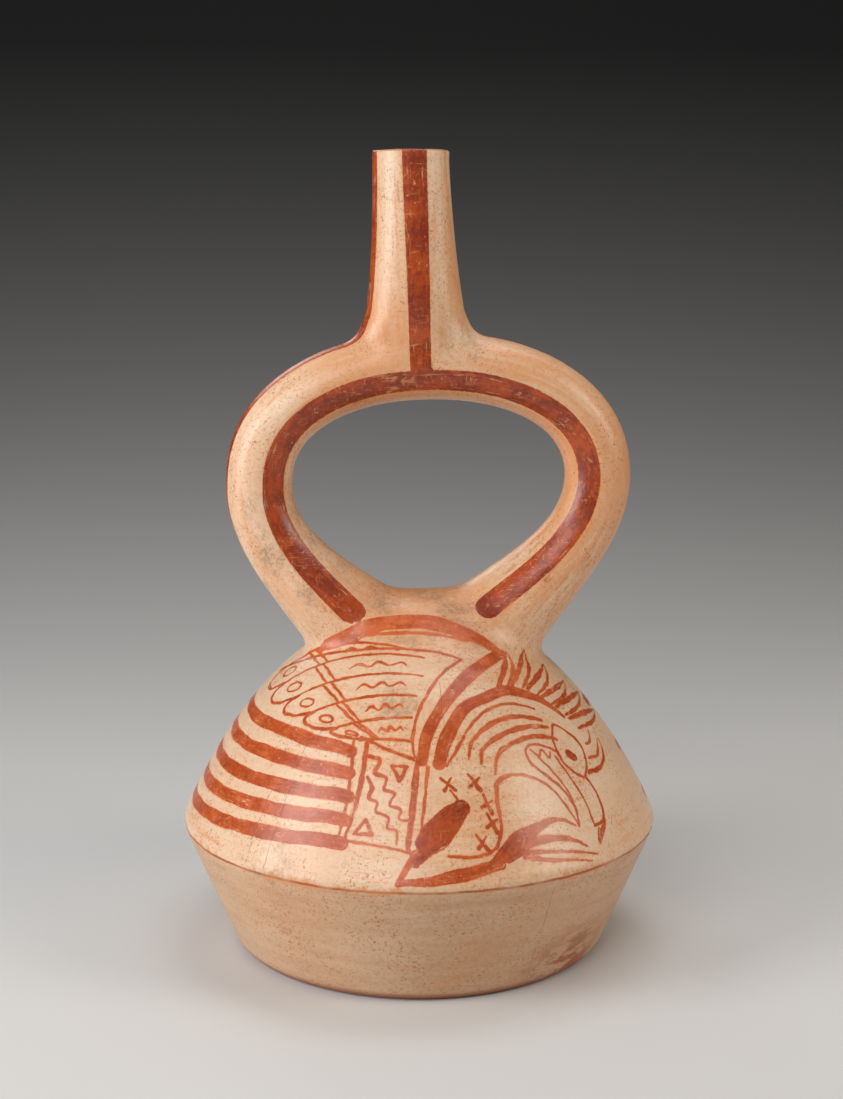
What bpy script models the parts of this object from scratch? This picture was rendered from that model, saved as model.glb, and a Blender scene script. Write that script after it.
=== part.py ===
"""Stirrup spout vessel of fired clay, hollow and open at the mouth.

A turned body with a keel carries a hollow stirrup, and a spout rises from the top of its arch.
The base centre is the origin, the stirrup stands in the XZ plane, and all sizes are in metres.
"""

import math

import bmesh
import bpy

# Body, turned about the Z axis
BASE_RADIUS = 0.0662
BASE_ROUNDING = 0.0024
KEEL_RADIUS = 0.0855
KEEL_HEIGHT = 0.0458
KEEL_ROUNDING = 0.0016
DOME_RISE = 0.0720
DOME_FULLNESS = 2.45
BODY_WALL = 0.0050
FLOOR_THICKNESS = 0.0060

# Stirrup, swept along its centre line, whose heights are taken from the crown of the dome
STIRRUP_SPAN = 0.1202
STIRRUP_OFFSET = 0.0039
WIDEST_ABOVE_CROWN = 0.0488
ARCH_RISE = 0.0402
ARCH_FULLNESS = 2.20
ARM_RADIUS = 0.0119
ARM_WALL = 0.0035
FOOT_SPREAD = 0.0348
FOOT_OFFSET = 0.0025
FOOT_ABOVE_CROWN = 0.0063
FOOT_SLOPE = math.radians(44.0)
FOOT_RADIUS = 0.0156
FOOT_FLARE_FULLNESS = 2.0
ARM_BEND_UPPER = 0.0170
ARM_BEND_LOWER = 0.0170

# Saddle of clay that fills the fork between the two feet
SADDLE_ABOVE_CROWN = 0.0092
SADDLE_DEPTH = 0.0200
SADDLE_HALF_LENGTH = 0.0280
SADDLE_HALF_WIDTH = 0.0260

# Spout, in heights above the top of the arch's centre line
SPOUT_HEIGHT = 0.0738
SPOUT_OFFSET = -0.0006
SPOUT_LEAN = -0.0023
MOUTH_RADIUS = 0.0133
MOUTH_ROUNDING = 0.0008
SPOUT_SWELL = 0.0071
SPOUT_SIDE_SWELL = 0.0012
SPOUT_WALL = 0.0034
SPOUT_FLARE = 0.0070
SPOUT_FLARE_HEIGHT = 0.0198
SPOUT_FLARE_FULLNESS = 1.3
SPOUT_NECK_HEIGHT = 0.0270
SPOUT_FOOT_SINK = 0.0004
CUTTER_PAST_MOUTH = 0.0050

# Fineness of the facets, and limits that keep them clean
BODY_SIDES = 64
BODY_BORE_SIDES = 40
DOME_RINGS = 20
BODY_BORE_RINGS = 12
CORNER_STEPS = 3
ARM_SIDES = 20
ARM_BORE_SIDES = 12
ARCH_STEPS = 11
ARM_STEPS = 8
FOOT_STEPS = 3
SPOUT_SIDES = 24
SPOUT_BORE_SIDES = 16
SPOUT_RINGS = 12
SADDLE_SIDES = 24
SADDLE_RINGS = 10
SPOUT_RING_CROWDING = 1.3
LARGEST_CORNER_SHARE = 0.45
SHARP_ANGLE = math.radians(40.0)
MERGE_DISTANCE = 1e-6

# Burnished cream slip over the clay
SLIP_COLOUR = (0.66, 0.47, 0.30, 1.0)
SLIP_ROUGHNESS = 0.42

# Heights that follow from the sizes above
CROWN_HEIGHT = KEEL_HEIGHT + DOME_RISE
WIDEST_HEIGHT = CROWN_HEIGHT + WIDEST_ABOVE_CROWN
ARCH_HEIGHT = WIDEST_HEIGHT + ARCH_RISE
FOOT_HEIGHT = CROWN_HEIGHT + FOOT_ABOVE_CROWN

# How far each arm runs on past its foot, to end inside the hollow, beside the other one's end
FOOT_RUN = (FOOT_SPREAD - ARM_RADIUS) / math.cos(FOOT_SLOPE)


def clear_scene():
    """Empties the scene, and the meshes and materials that it leaves behind."""
    for obj in list(bpy.data.objects):
        bpy.data.objects.remove(obj, do_unlink=True)
    for mesh in list(bpy.data.meshes):
        bpy.data.meshes.remove(mesh)


def slip_material():
    """The pale burnished surface that most of the vessel shows."""
    material = bpy.data.materials.new("cream_slip")
    material.use_nodes = True
    shader = material.node_tree.nodes["Principled BSDF"]
    shader.inputs["Base Color"].default_value = SLIP_COLOUR
    shader.inputs["Roughness"].default_value = SLIP_ROUGHNESS
    shader.inputs["Metallic"].default_value = 0.0
    return material


def skin_rings(name, rings):
    """Closes a stack of equal rings of points into one solid, with a flat cap at each end."""
    mesh_data = bmesh.new()
    loops = [[mesh_data.verts.new(point) for point in ring] for ring in rings]
    for lower, upper in zip(loops, loops[1:]):
        count = len(lower)
        for i in range(count):
            j = (i + 1) % count
            mesh_data.faces.new((lower[i], lower[j], upper[j], upper[i]))
    mesh_data.faces.new(loops[0])
    mesh_data.faces.new(loops[-1])
    bmesh.ops.recalc_face_normals(mesh_data, faces=mesh_data.faces)
    return object_from(mesh_data, name)


def object_from(mesh_data, name):
    """Turns finished bmesh data into a smooth object in the scene."""
    mesh = bpy.data.meshes.new(name)
    mesh_data.to_mesh(mesh)
    mesh_data.free()
    mesh.shade_smooth()
    mesh.set_sharp_from_angle(angle=SHARP_ANGLE)
    obj = bpy.data.objects.new(name, mesh)
    bpy.context.collection.objects.link(obj)
    return obj


def turned(name, profile, sides):
    """Turns a profile of (radius, height), from the crown down to the base, about the Z axis."""
    mesh_data = bmesh.new()
    points = [mesh_data.verts.new((radius, 0.0, height)) for radius, height in profile]
    edges = [mesh_data.edges.new(pair) for pair in zip(points, points[1:])]
    bmesh.ops.spin(
        mesh_data,
        geom=points + edges,
        cent=(0.0, 0.0, 0.0),
        axis=(0.0, 0.0, 1.0),
        angle=math.tau,
        steps=sides,
        use_merge=True,
    )
    bmesh.ops.remove_doubles(mesh_data, verts=mesh_data.verts, dist=MERGE_DISTANCE)
    bmesh.ops.recalc_face_normals(mesh_data, faces=mesh_data.faces)
    return object_from(mesh_data, name)


def ellipse_ring(centre_x, height, radius_x, radius_y, sides):
    """A level ring of points, round or drawn out along X."""
    angles = [math.tau * i / sides for i in range(sides)]
    return [
        (centre_x + radius_x * math.cos(a), radius_y * math.sin(a), height)
        for a in angles
    ]


def rounded_corner(before, corner, after, rounding):
    """Points of a rounded corner between two straight runs of a profile."""
    def toward(end):
        length = math.dist(corner, end)
        share = min(rounding, LARGEST_CORNER_SHARE * length) / length
        return tuple(c + share * (e - c) for c, e in zip(corner, end))

    start, finish = toward(before), toward(after)
    points = []
    for i in range(CORNER_STEPS + 1):
        t = i / CORNER_STEPS
        weights = ((1 - t) ** 2, 2 * t * (1 - t), t**2)
        points.append(tuple(
            weights[0] * s + weights[1] * c + weights[2] * f
            for s, c, f in zip(start, corner, finish)
        ))
    return points


def dome_height(radius, keel_radius, rise):
    """Height of the dome above the keel at a distance from the axis."""
    return rise * (1.0 - (radius / keel_radius) ** DOME_FULLNESS)


def dome_profile(keel_radius, rise, rings):
    """The dome from its crown down to the keel, with its rings closer towards the keel."""
    points = []
    for i in range(rings):
        radius = keel_radius * math.sin(0.5 * math.pi * i / rings)
        points.append((radius, KEEL_HEIGHT + dome_height(radius, keel_radius, rise)))
    return points


def make_body():
    """The outer body: dome, soft keel, straight lower cone and flat base."""
    dome = dome_profile(KEEL_RADIUS, DOME_RISE, DOME_RINGS)
    keel, foot = (KEEL_RADIUS, KEEL_HEIGHT), (BASE_RADIUS, 0.0)
    profile = dome
    profile += rounded_corner(dome[-1], keel, foot, KEEL_ROUNDING)
    profile += rounded_corner(keel, foot, (0.0, 0.0), BASE_ROUNDING)
    profile.append((0.0, 0.0))
    return turned("vessel", profile, BODY_SIDES)


def make_body_bore():
    """The hollow of the body, one wall inside its outer shape."""
    keel_radius = KEEL_RADIUS - BODY_WALL
    profile = dome_profile(keel_radius, DOME_RISE - BODY_WALL, BODY_BORE_RINGS)
    profile.append((keel_radius, KEEL_HEIGHT))
    cone_slope = (KEEL_RADIUS - BASE_RADIUS) / KEEL_HEIGHT
    profile.append((BASE_RADIUS - BODY_WALL + cone_slope * FLOOR_THICKNESS, FLOOR_THICKNESS))
    profile.append((0.0, FLOOR_THICKNESS))
    return turned("body_bore", profile, BODY_BORE_SIDES)


def arch_stations():
    """Upper half of the stirrup's centre line, from the left arm's widest place to the right's."""
    half_span = 0.5 * STIRRUP_SPAN
    power = 2.0 / ARCH_FULLNESS
    stations = []
    for i in range(2 * ARCH_STEPS + 1):
        angle = math.pi * (1.0 - i / (2 * ARCH_STEPS))
        across = math.copysign(abs(math.cos(angle)) ** power, math.cos(angle))
        up = max(math.sin(angle), 0.0) ** power
        stations.append((half_span * across + STIRRUP_OFFSET, WIDEST_HEIGHT + ARCH_RISE * up))
    return stations


def arm_stations(side):
    """One arm's centre line below the widest place, down into the body. side is -1 or 1."""
    half_span = 0.5 * STIRRUP_SPAN
    slope = (math.cos(FOOT_SLOPE), math.sin(FOOT_SLOPE))
    curve = (
        (half_span, WIDEST_HEIGHT),
        (half_span, WIDEST_HEIGHT - ARM_BEND_UPPER),
        (FOOT_SPREAD + ARM_BEND_LOWER * slope[0], FOOT_HEIGHT + ARM_BEND_LOWER * slope[1]),
        (FOOT_SPREAD, FOOT_HEIGHT),
    )
    stations = []
    for i in range(1, ARM_STEPS + 1):
        t = i / ARM_STEPS
        weights = ((1 - t) ** 3, 3 * t * (1 - t) ** 2, 3 * t**2 * (1 - t), t**3)
        across = sum(w * p[0] for w, p in zip(weights, curve))
        height = sum(w * p[1] for w, p in zip(weights, curve))
        drop = (WIDEST_HEIGHT - height) / (WIDEST_HEIGHT - FOOT_HEIGHT)
        offset = STIRRUP_OFFSET + (FOOT_OFFSET - STIRRUP_OFFSET) * drop
        stations.append((side * across + offset, height))
    for i in range(1, FOOT_STEPS + 1):
        run = FOOT_RUN * i / FOOT_STEPS
        across = FOOT_SPREAD - run * slope[0]
        stations.append((side * across + FOOT_OFFSET, FOOT_HEIGHT - run * slope[1]))
    return stations


def stirrup_line():
    """The whole centre line, from the end of the left foot over the arch to the right foot's."""
    return arm_stations(-1)[::-1] + arch_stations() + arm_stations(1)


def arm_radius(height):
    """Outer radius of the stirrup, which swells where the arms come down to the body."""
    flare_top = WIDEST_HEIGHT - ARM_RADIUS
    drop = max(0.0, (flare_top - height) / (flare_top - FOOT_HEIGHT))
    return ARM_RADIUS + (FOOT_RADIUS - ARM_RADIUS) * drop**FOOT_FLARE_FULLNESS


def swept(name, line, radius_at, sides):
    """Sweeps a circle, whose radius depends on the height, along a line in the XZ plane."""
    rings = []
    for i, (x, z) in enumerate(line):
        before, after = line[max(i - 1, 0)], line[min(i + 1, len(line) - 1)]
        run, rise = after[0] - before[0], after[1] - before[1]
        length = math.hypot(run, rise)
        normal_x, normal_z = -rise / length, run / length
        radius = radius_at(z)
        ring = []
        for k in range(sides):
            angle = math.tau * k / sides
            out = radius * math.cos(angle)
            ring.append((x + out * normal_x, radius * math.sin(angle), z + out * normal_z))
        rings.append(ring)
    return skin_rings(name, rings)


def make_stirrup():
    """The outside of the stirrup."""
    return swept("stirrup", stirrup_line(), arm_radius, ARM_SIDES)


def make_stirrup_bore():
    """The channel inside the stirrup, which opens into the body's hollow at both feet."""
    channel = ARM_RADIUS - ARM_WALL
    return swept("stirrup_bore", stirrup_line(), lambda height: channel, ARM_BORE_SIDES)


def make_saddle():
    """The clay between the two feet, half sunk in the crown of the dome."""
    top = CROWN_HEIGHT + SADDLE_ABOVE_CROWN
    profile = []
    for i in range(SADDLE_RINGS + 1):
        angle = math.pi * i / SADDLE_RINGS
        profile.append((math.sin(angle), top - SADDLE_DEPTH * (1.0 - math.cos(angle))))
    profile[0], profile[-1] = (0.0, profile[0][1]), (0.0, profile[-1][1])
    saddle = turned("saddle", profile, SADDLE_SIDES)
    for vertex in saddle.data.vertices:
        vertex.co.x = FOOT_OFFSET + SADDLE_HALF_LENGTH * vertex.co.x
        vertex.co.y *= SADDLE_HALF_WIDTH
    return saddle


def spout_centre(rise):
    """How far the spout's axis stands from the body's, at a height above the arch."""
    return SPOUT_OFFSET + SPOUT_LEAN * rise / SPOUT_HEIGHT


def spout_radii(rise):
    """Outer radius of the spout along X and along Y, at a height above the arch."""
    depth = (SPOUT_HEIGHT - rise) / SPOUT_HEIGHT
    low = max(0.0, (SPOUT_FLARE_HEIGHT - rise) / SPOUT_FLARE_HEIGHT)
    along = MOUTH_RADIUS + SPOUT_SWELL * depth**2 + SPOUT_FLARE * low**SPOUT_FLARE_FULLNESS
    if rise >= SPOUT_NECK_HEIGHT:
        return along, MOUTH_RADIUS + SPOUT_SIDE_SWELL * depth**2
    waist = ARM_RADIUS - SPOUT_FOOT_SINK
    neck_depth = (SPOUT_HEIGHT - SPOUT_NECK_HEIGHT) / SPOUT_HEIGHT
    neck = MOUTH_RADIUS + SPOUT_SIDE_SWELL * neck_depth**2
    blend = 0.5 - 0.5 * math.cos(math.pi * rise / SPOUT_NECK_HEIGHT)
    return along, waist + (neck - waist) * blend


def make_spout():
    """The outside of the spout, drawn out along the arch at its foot and level at its rim."""
    rings = []
    for i in range(SPOUT_RINGS + 1):
        rise = (SPOUT_HEIGHT - MOUTH_ROUNDING) * (i / SPOUT_RINGS) ** SPOUT_RING_CROWDING
        radius_x, radius_y = spout_radii(rise)
        rings.append(ellipse_ring(
            spout_centre(rise), ARCH_HEIGHT + rise, radius_x, radius_y, SPOUT_SIDES
        ))
    rim = MOUTH_RADIUS - MOUTH_ROUNDING
    rings.append(ellipse_ring(
        spout_centre(SPOUT_HEIGHT), ARCH_HEIGHT + SPOUT_HEIGHT, rim, rim, SPOUT_SIDES
    ))
    return skin_rings("spout", rings)


def make_spout_bore():
    """The channel of the spout, from inside the arch to past the mouth."""
    narrow = ARM_RADIUS - ARM_WALL - SPOUT_FOOT_SINK
    wide = MOUTH_RADIUS - SPOUT_WALL
    past_mouth = SPOUT_HEIGHT + CUTTER_PAST_MOUTH
    rings = []
    for rise, radius in ((0.0, narrow), (SPOUT_NECK_HEIGHT, wide), (past_mouth, wide)):
        rings.append(ellipse_ring(
            spout_centre(rise), ARCH_HEIGHT + rise, radius, radius, SPOUT_BORE_SIDES
        ))
    return skin_rings("spout_bore", rings)


def combine(target, tool, operation):
    """Adds a tool to the target with an exact Boolean, and hides the tool."""
    modifier = target.modifiers.new(tool.name, "BOOLEAN")
    modifier.operation = operation
    modifier.solver = "EXACT"
    modifier.object = tool
    tool.hide_render = True
    tool.display_type = "WIRE"


def main():
    """Builds the vessel: the outer shapes are joined first, then the hollow is taken out."""
    clear_scene()
    vessel = make_body()
    for make_tool in (make_saddle, make_stirrup, make_spout):
        combine(vessel, make_tool(), "UNION")
    for make_tool in (make_body_bore, make_stirrup_bore, make_spout_bore):
        combine(vessel, make_tool(), "DIFFERENCE")
    vessel.data.materials.append(slip_material())


main()
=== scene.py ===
"""Looks of the stirrup spout vessel: one piece of burnished, slip-painted clay in place of the CAD solid.

The piece is built in four steps. Coils of clay are swept along their lines with Geometry Nodes and fused;
the fused skin is settled on the vessel's exact smooth form; a turned lip joins it to the hollow in one
closed shell; and the slip painting is laid on as strokes that Geometry Nodes measure the distance to. Sizes
are in metres in the frame's own axes unless a name says otherwise.
"""

import logging
from dataclasses import dataclass, field
from enum import Enum
from math import atan2, copysign, cos, hypot, pi, radians, sin
from typing import Callable, Iterable, Sequence

import bmesh
import bpy
import numpy as np
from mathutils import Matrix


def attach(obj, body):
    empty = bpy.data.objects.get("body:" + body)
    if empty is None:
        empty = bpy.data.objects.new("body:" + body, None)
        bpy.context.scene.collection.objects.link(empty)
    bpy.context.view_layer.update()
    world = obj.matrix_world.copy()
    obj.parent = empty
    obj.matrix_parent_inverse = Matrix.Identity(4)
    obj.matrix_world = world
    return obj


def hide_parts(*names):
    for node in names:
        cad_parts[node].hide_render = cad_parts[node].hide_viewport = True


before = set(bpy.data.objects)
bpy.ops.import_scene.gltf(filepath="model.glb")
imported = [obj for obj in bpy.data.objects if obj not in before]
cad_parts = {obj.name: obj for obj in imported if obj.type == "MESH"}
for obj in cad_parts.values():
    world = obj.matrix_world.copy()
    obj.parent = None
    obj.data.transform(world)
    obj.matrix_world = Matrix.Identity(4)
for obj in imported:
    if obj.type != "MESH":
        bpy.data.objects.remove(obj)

LOG = logging.getLogger("vessel")
MM = 0.001
NODE = "vessel"
SLOT = "slip_painted_clay"

TINY = 1e-6

Array = np.ndarray
Material = bpy.types.Material
Mesh = bpy.types.Mesh
Object = bpy.types.Object
Socket = bpy.types.NodeSocket
Tree = bpy.types.NodeTree
Point = tuple[float, float]
Triple = tuple[float, float, float]
Colour = tuple[float, float, float, float]
Coil = list[tuple[float, float, float, float]]


class Attr(str, Enum):
    """Names of the values that the meshes carry from step to step and into the materials."""

    GIRTH = "girth"
    DEPTH = "depth"
    HALF_WIDTH = "half_width"
    LOAD = "load"
    RUN = "run"
    SLIP_EDGE = "slip_edge"
    SLIP_LOAD = "slip_load"
    SLIP_RUN = "slip_run"
    SLIP_SPOT = "slip_spot"
    GRAIN = "grain"
    CALM = "calm"


class Brush(Enum):
    """The two brushes of the painter, kept apart so that a thin line never cuts into a broad one."""

    BROAD = "broad"
    FINE = "fine"


class Face(Enum):
    """The two painted faces, by the angle of their middle round the axis from the front."""

    FRONT = -6.0
    BACK = 174.0


def soft_min(a: Array, b: Array, reach: float) -> Array:
    """Joins two distance fields with a fillet of about the given reach."""
    near = np.clip(reach - np.abs(a - b), 0.0, None) / reach
    return np.minimum(a, b) - near * near * reach / 4.0


def soft_max(a: Array, b: Array, reach: float) -> Array:
    """Cuts one distance field by another with a rounded edge of about the given reach."""
    return -soft_min(-a, -b, reach)


def smooth_route(points: Sequence[Point], steps: int) -> Array:
    """Runs a Catmull-Rom curve through the given points.

    Args:
        points: the points that the curve passes through.
        steps: how many stretches each span is cut into.

    Returns:
        The curve's points, with as many columns as the points have.
    """
    knots = np.array(points, float)
    knots = np.vstack([2 * knots[0] - knots[1], knots, 2 * knots[-1] - knots[-2]])
    share = np.arange(steps)[:, None] / steps
    runs = []
    for before, start, end, after in zip(knots, knots[1:], knots[2:], knots[3:]):
        bend = 2 * before - 5 * start + 4 * end - after
        twist = 3 * (start - end) + after - before
        runs.append(start + 0.5 * share * (end - before + share * (bend + share * twist)))
    return np.vstack([*runs, knots[-2:-1]])


def lengths(rows: Array) -> Array:
    """The length of each row, taken as a vector."""
    return np.linalg.norm(rows, axis=1)


def runs_along(points: Array) -> Array:
    """How far along a line of points each of them lies."""
    return np.concatenate([[0.0], np.cumsum(lengths(np.diff(points, axis=0)))])


def points_at(wanted: Array, runs: Array, points: Array) -> Array:
    """The points of a line at the wanted runs along it."""
    return np.stack([np.interp(wanted, runs, column) for column in points.T], axis=1)


@dataclass(frozen=True)
class Body:
    """The turned body: a convex dome over a straight lower cone, with a keel between them."""

    base_radius: float = 0.0662
    base_rounding: float = 0.0042
    keel_radius: float = 0.0855
    keel_height: float = 0.0458
    keel_rounding: float = 0.0016
    dome_rise: float = 0.072
    fullness: float = 2.45
    wall: float = 0.005
    floor: float = 0.006
    rings: int = 26
    chart_steps: int = 800

    @property
    def crown(self) -> float:
        """Height of the dome's top."""
        return self.keel_height + self.dome_rise

    def dome(self, radius: Array) -> Array:
        """Height of the dome's surface at a distance from the axis."""
        return self.keel_height + self.dome_rise * (1.0 - (radius / self.keel_radius) ** self.fullness)

    def distance(self, p: Array) -> Array:
        """Signed distance from points to the body's skin, near enough within a few millimetres of it."""
        radius = np.hypot(p[:, 0], p[:, 1])
        slope = self.dome_rise * self.fullness / self.keel_radius
        slope = slope * (radius / self.keel_radius) ** (self.fullness - 1.0)
        over_dome = (p[:, 2] - self.dome(radius)) / np.hypot(1.0, slope)
        spread = self.keel_radius - self.base_radius
        side = hypot(spread, self.keel_height)
        off_cone = ((radius - self.base_radius) * self.keel_height - p[:, 2] * spread) / side
        whole = soft_max(over_dome, off_cone, self.keel_rounding)
        return soft_max(whole, -p[:, 2], self.base_rounding)

    def coil(self, wall: float) -> Coil:
        """Points up the axis as (x, z, girth, depth): the outside, or the hollow if a wall is given."""
        floor = self.floor if wall else 0.0
        keel = self.keel_radius - wall
        lean = (self.keel_radius - self.base_radius) / self.keel_height
        points = [(0.0, floor, self.base_radius - wall + lean * floor, 1.0)]
        for i in range(self.rings + 1):
            girth = keel * max(0.0, cos(0.5 * pi * i / self.rings))
            rise = (self.dome_rise - wall) * (1.0 - (girth / keel) ** self.fullness)
            points.append((0.0, self.keel_height + rise, girth, 1.0))
        return points

    def chart(self) -> tuple[Array, Array, Array]:
        """Slant length up the dome from the keel, with the radius and the height that belong to it."""
        radius = np.linspace(self.keel_radius, 0.0, self.chart_steps)
        height = self.dome(radius)
        steps = np.hypot(np.diff(radius), np.diff(height))
        return np.concatenate([[0.0], np.cumsum(steps)]), radius, height

    def place(self, degrees: Array, slant_mm: Array) -> Array:
        """Points on the dome, by the angle round from the front (-Y) and the slant height above the keel."""
        slant, radius, height = self.chart()
        r = np.interp(slant_mm * MM, slant, radius)
        z = np.interp(slant_mm * MM, slant, height)
        angle = np.radians(degrees)
        return np.stack([r * np.sin(angle), -r * np.cos(angle), z], axis=1)


@dataclass(frozen=True)
class Stirrup:
    """The hollow stirrup, a round coil bent in the XZ plane, whose arms swell towards the body."""

    crown: float
    span: float = 0.1202
    offset: float = 0.0039
    widest_above_crown: float = 0.0488
    arch_rise: float = 0.0402
    fullness: float = 2.2
    radius: float = 0.0119
    wall: float = 0.0035
    foot_spread: float = 0.0348
    foot_offset: float = 0.0025
    foot_above_crown: float = 0.0063
    foot_slope: float = radians(44.0)
    foot_radius: float = 0.0156
    bend: float = 0.017
    arch_steps: int = 20
    arm_steps: int = 12
    foot_steps: int = 4
    reach_y: float = 0.034
    reach_down: float = 0.03
    far: float = 0.05

    @property
    def widest(self) -> float:
        """Height at which the arms stand furthest apart."""
        return self.crown + self.widest_above_crown

    @property
    def top(self) -> float:
        """Height of the centre line at the top of the arch."""
        return self.widest + self.arch_rise

    def arm(self, side: int) -> list[Point]:
        """One arm's centre line from below its widest place down into the body, for side -1 or 1."""
        foot = self.crown + self.foot_above_crown
        across, up = cos(self.foot_slope), sin(self.foot_slope)
        half = 0.5 * self.span
        low = (self.foot_spread + self.bend * across, foot + self.bend * up)
        curve = ((half, self.widest), (half, self.widest - self.bend), low, (self.foot_spread, foot))
        line = []
        for i in range(1, self.arm_steps + 1):
            t = i / self.arm_steps
            weights = ((1 - t) ** 3, 3 * t * (1 - t) ** 2, 3 * t * t * (1 - t), t**3)
            x = sum(w * p[0] for w, p in zip(weights, curve))
            z = sum(w * p[1] for w, p in zip(weights, curve))
            drop = (self.widest - z) / (self.widest - foot)
            line.append((side * x + self.offset + (self.foot_offset - self.offset) * drop, z))
        reach = (self.foot_spread - self.radius) / across
        for i in range(1, self.foot_steps + 1):
            run = reach * i / self.foot_steps
            line.append((side * (self.foot_spread - run * across) + self.foot_offset, foot - run * up))
        return line

    def line(self) -> Array:
        """The whole centre line as (x, z), from the end of the left foot to the end of the right one."""
        arch = []
        for i in range(2 * self.arch_steps + 1):
            angle = pi * (1.0 - i / (2 * self.arch_steps))
            across = copysign(abs(cos(angle)) ** (2.0 / self.fullness), cos(angle))
            up = max(sin(angle), 0.0) ** (2.0 / self.fullness)
            arch.append((0.5 * self.span * across + self.offset, self.widest + self.arch_rise * up))
        return np.array(self.arm(-1)[::-1] + arch + self.arm(1))

    def girth(self, height: Array) -> Array:
        """Outer radius of the coil at a height of its centre line."""
        flare_top = self.widest - self.radius
        foot = self.crown + self.foot_above_crown
        drop = np.clip((flare_top - height) / (flare_top - foot), 0.0, None)
        return self.radius + (self.foot_radius - self.radius) * drop**2

    def nearest(self, p: Array) -> tuple[Array, Array, Array]:
        """For each point the closest spot of the centre line, as the spot, its distance and its run along."""
        line = self.line()
        start, step = line[:-1], np.diff(line, axis=0)
        length2 = (step**2).sum(axis=1)
        flat = p[:, [0, 2]]
        share = ((flat[:, None, :] - start) * step).sum(axis=2) / length2
        share = np.clip(share, 0.0, 1.0)
        spots = start + share[:, :, None] * step
        gap2 = ((flat[:, None, :] - spots) ** 2).sum(axis=2)
        best = gap2.argmin(axis=1)
        rows = np.arange(len(p))
        runs = np.concatenate([[0.0], np.cumsum(np.sqrt(length2))])
        run = runs[best] + share[rows, best] * np.sqrt(length2[best])
        return spots[rows, best], np.sqrt(gap2[rows, best]), run

    def distance(self, p: Array) -> Array:
        """Signed distance from points to the coil's skin, and a plain large value far from it."""
        far = np.full(len(p), self.far)
        close = (np.abs(p[:, 1]) < self.reach_y) & (p[:, 2] > self.crown - self.reach_down)
        if close.any():
            spot, gap, _ = self.nearest(p[close])
            far[close] = np.hypot(gap, p[close, 1]) - self.girth(spot[:, 1])
        return far

    def coil(self, wall: float) -> Coil:
        """Points of the sweep as (x, z, girth, depth)."""
        girth = (lambda z: self.radius - wall) if wall else self.girth
        return [(x, z, float(girth(z)), 1.0) for x, z in self.line()]


@dataclass(frozen=True)
class Saddle:
    """Clay pressed into the fork between the stirrup's feet."""

    crown: float
    centre_x: float = 0.0025
    top_above_crown: float = 0.0092
    half_length: float = 0.028
    half_width: float = 0.026
    half_height: float = 0.02
    steps: int = 12

    def distance(self, p: Array) -> Array:
        """Signed distance to the mound, near enough close to its skin."""
        middle = self.crown + self.top_above_crown - self.half_height
        halves = np.array([self.half_length, self.half_width, self.half_height])
        offset = p - np.array([self.centre_x, 0.0, middle])
        size = lengths(offset / halves)
        slope = lengths(offset / halves**2)
        return size * (size - 1.0) / np.maximum(slope, 1.0)

    def coil(self) -> Coil:
        """Points up through the mound as (x, z, girth, depth)."""
        points = []
        for i in range(self.steps + 1):
            angle = pi * (i / self.steps - 0.5)
            height = self.crown + self.top_above_crown + self.half_height * (sin(angle) - 1.0)
            girth = self.half_length * cos(angle)
            points.append((self.centre_x, height, girth, self.half_width / self.half_length))
        return points


@dataclass(frozen=True)
class Spout:
    """The spout, drawn out along the arch at its foot, round and level at its mouth."""

    foot: float
    arm_radius: float
    height: float = 0.0738
    offset: float = -0.0006
    lean: float = -0.0023
    mouth_radius: float = 0.0133
    swell: float = 0.0071
    side_swell: float = 0.0012
    wall: float = 0.0034
    flare: float = 0.007
    flare_height: float = 0.0198
    flare_fullness: float = 1.3
    neck_height: float = 0.027
    foot_sink: float = 0.0004
    rings: int = 24

    @property
    def rim(self) -> float:
        """Height of the mouth's rim."""
        return self.foot + self.height

    def centre(self, rise: Array) -> Array:
        """How far the spout's axis stands from the body's, at a height above the arch's centre line."""
        return self.offset + self.lean * rise / self.height

    def radii(self, rise: Array) -> tuple[Array, Array]:
        """Outer radius along X and along Y, at a height above the arch's centre line."""
        rise = np.clip(rise, 0.0, None)
        depth = np.clip((self.height - rise) / self.height, 0.0, None)
        low = np.clip((self.flare_height - rise) / self.flare_height, 0.0, None)
        along = self.mouth_radius + self.swell * depth**2 + self.flare * low**self.flare_fullness
        side = self.mouth_radius + self.side_swell * depth**2
        neck = self.mouth_radius + self.side_swell * ((self.height - self.neck_height) / self.height) ** 2
        waist = self.arm_radius - self.foot_sink
        blend = 0.5 - 0.5 * np.cos(pi * np.clip(rise / self.neck_height, 0.0, 1.0))
        return along, np.where(rise >= self.neck_height, side, waist + (neck - waist) * blend)

    def distance(self, p: Array) -> Array:
        """Signed distance to the spout's side, which runs on upwards past the mouth."""
        rise = p[:, 2] - self.foot
        across, depth = self.radii(rise)
        x, y = p[:, 0] - self.centre(rise), p[:, 1]
        size = np.hypot(x / across, y / depth)
        slope = np.hypot(x / across**2, y / depth**2)
        side = size * (size - 1.0) / np.maximum(slope, 1.0)
        return np.maximum(side, -rise)

    def coil(self, wall: float, past_rim: float) -> Coil:
        """Points up the spout as (x, z, girth, depth)."""
        points = []
        for i in range(self.rings + 1):
            rise = (self.height + past_rim) * i / self.rings
            if wall:
                narrow, wide = self.arm_radius - wall - self.foot_sink, self.mouth_radius - wall
                across = narrow + (wide - narrow) * min(1.0, rise / self.neck_height)
                ratio = 1.0
            else:
                across, depth = (float(v) for v in self.radii(np.array(rise)))
                ratio = depth / across
            points.append((float(self.centre(rise)), self.foot + rise, across, ratio))
        return points


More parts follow.
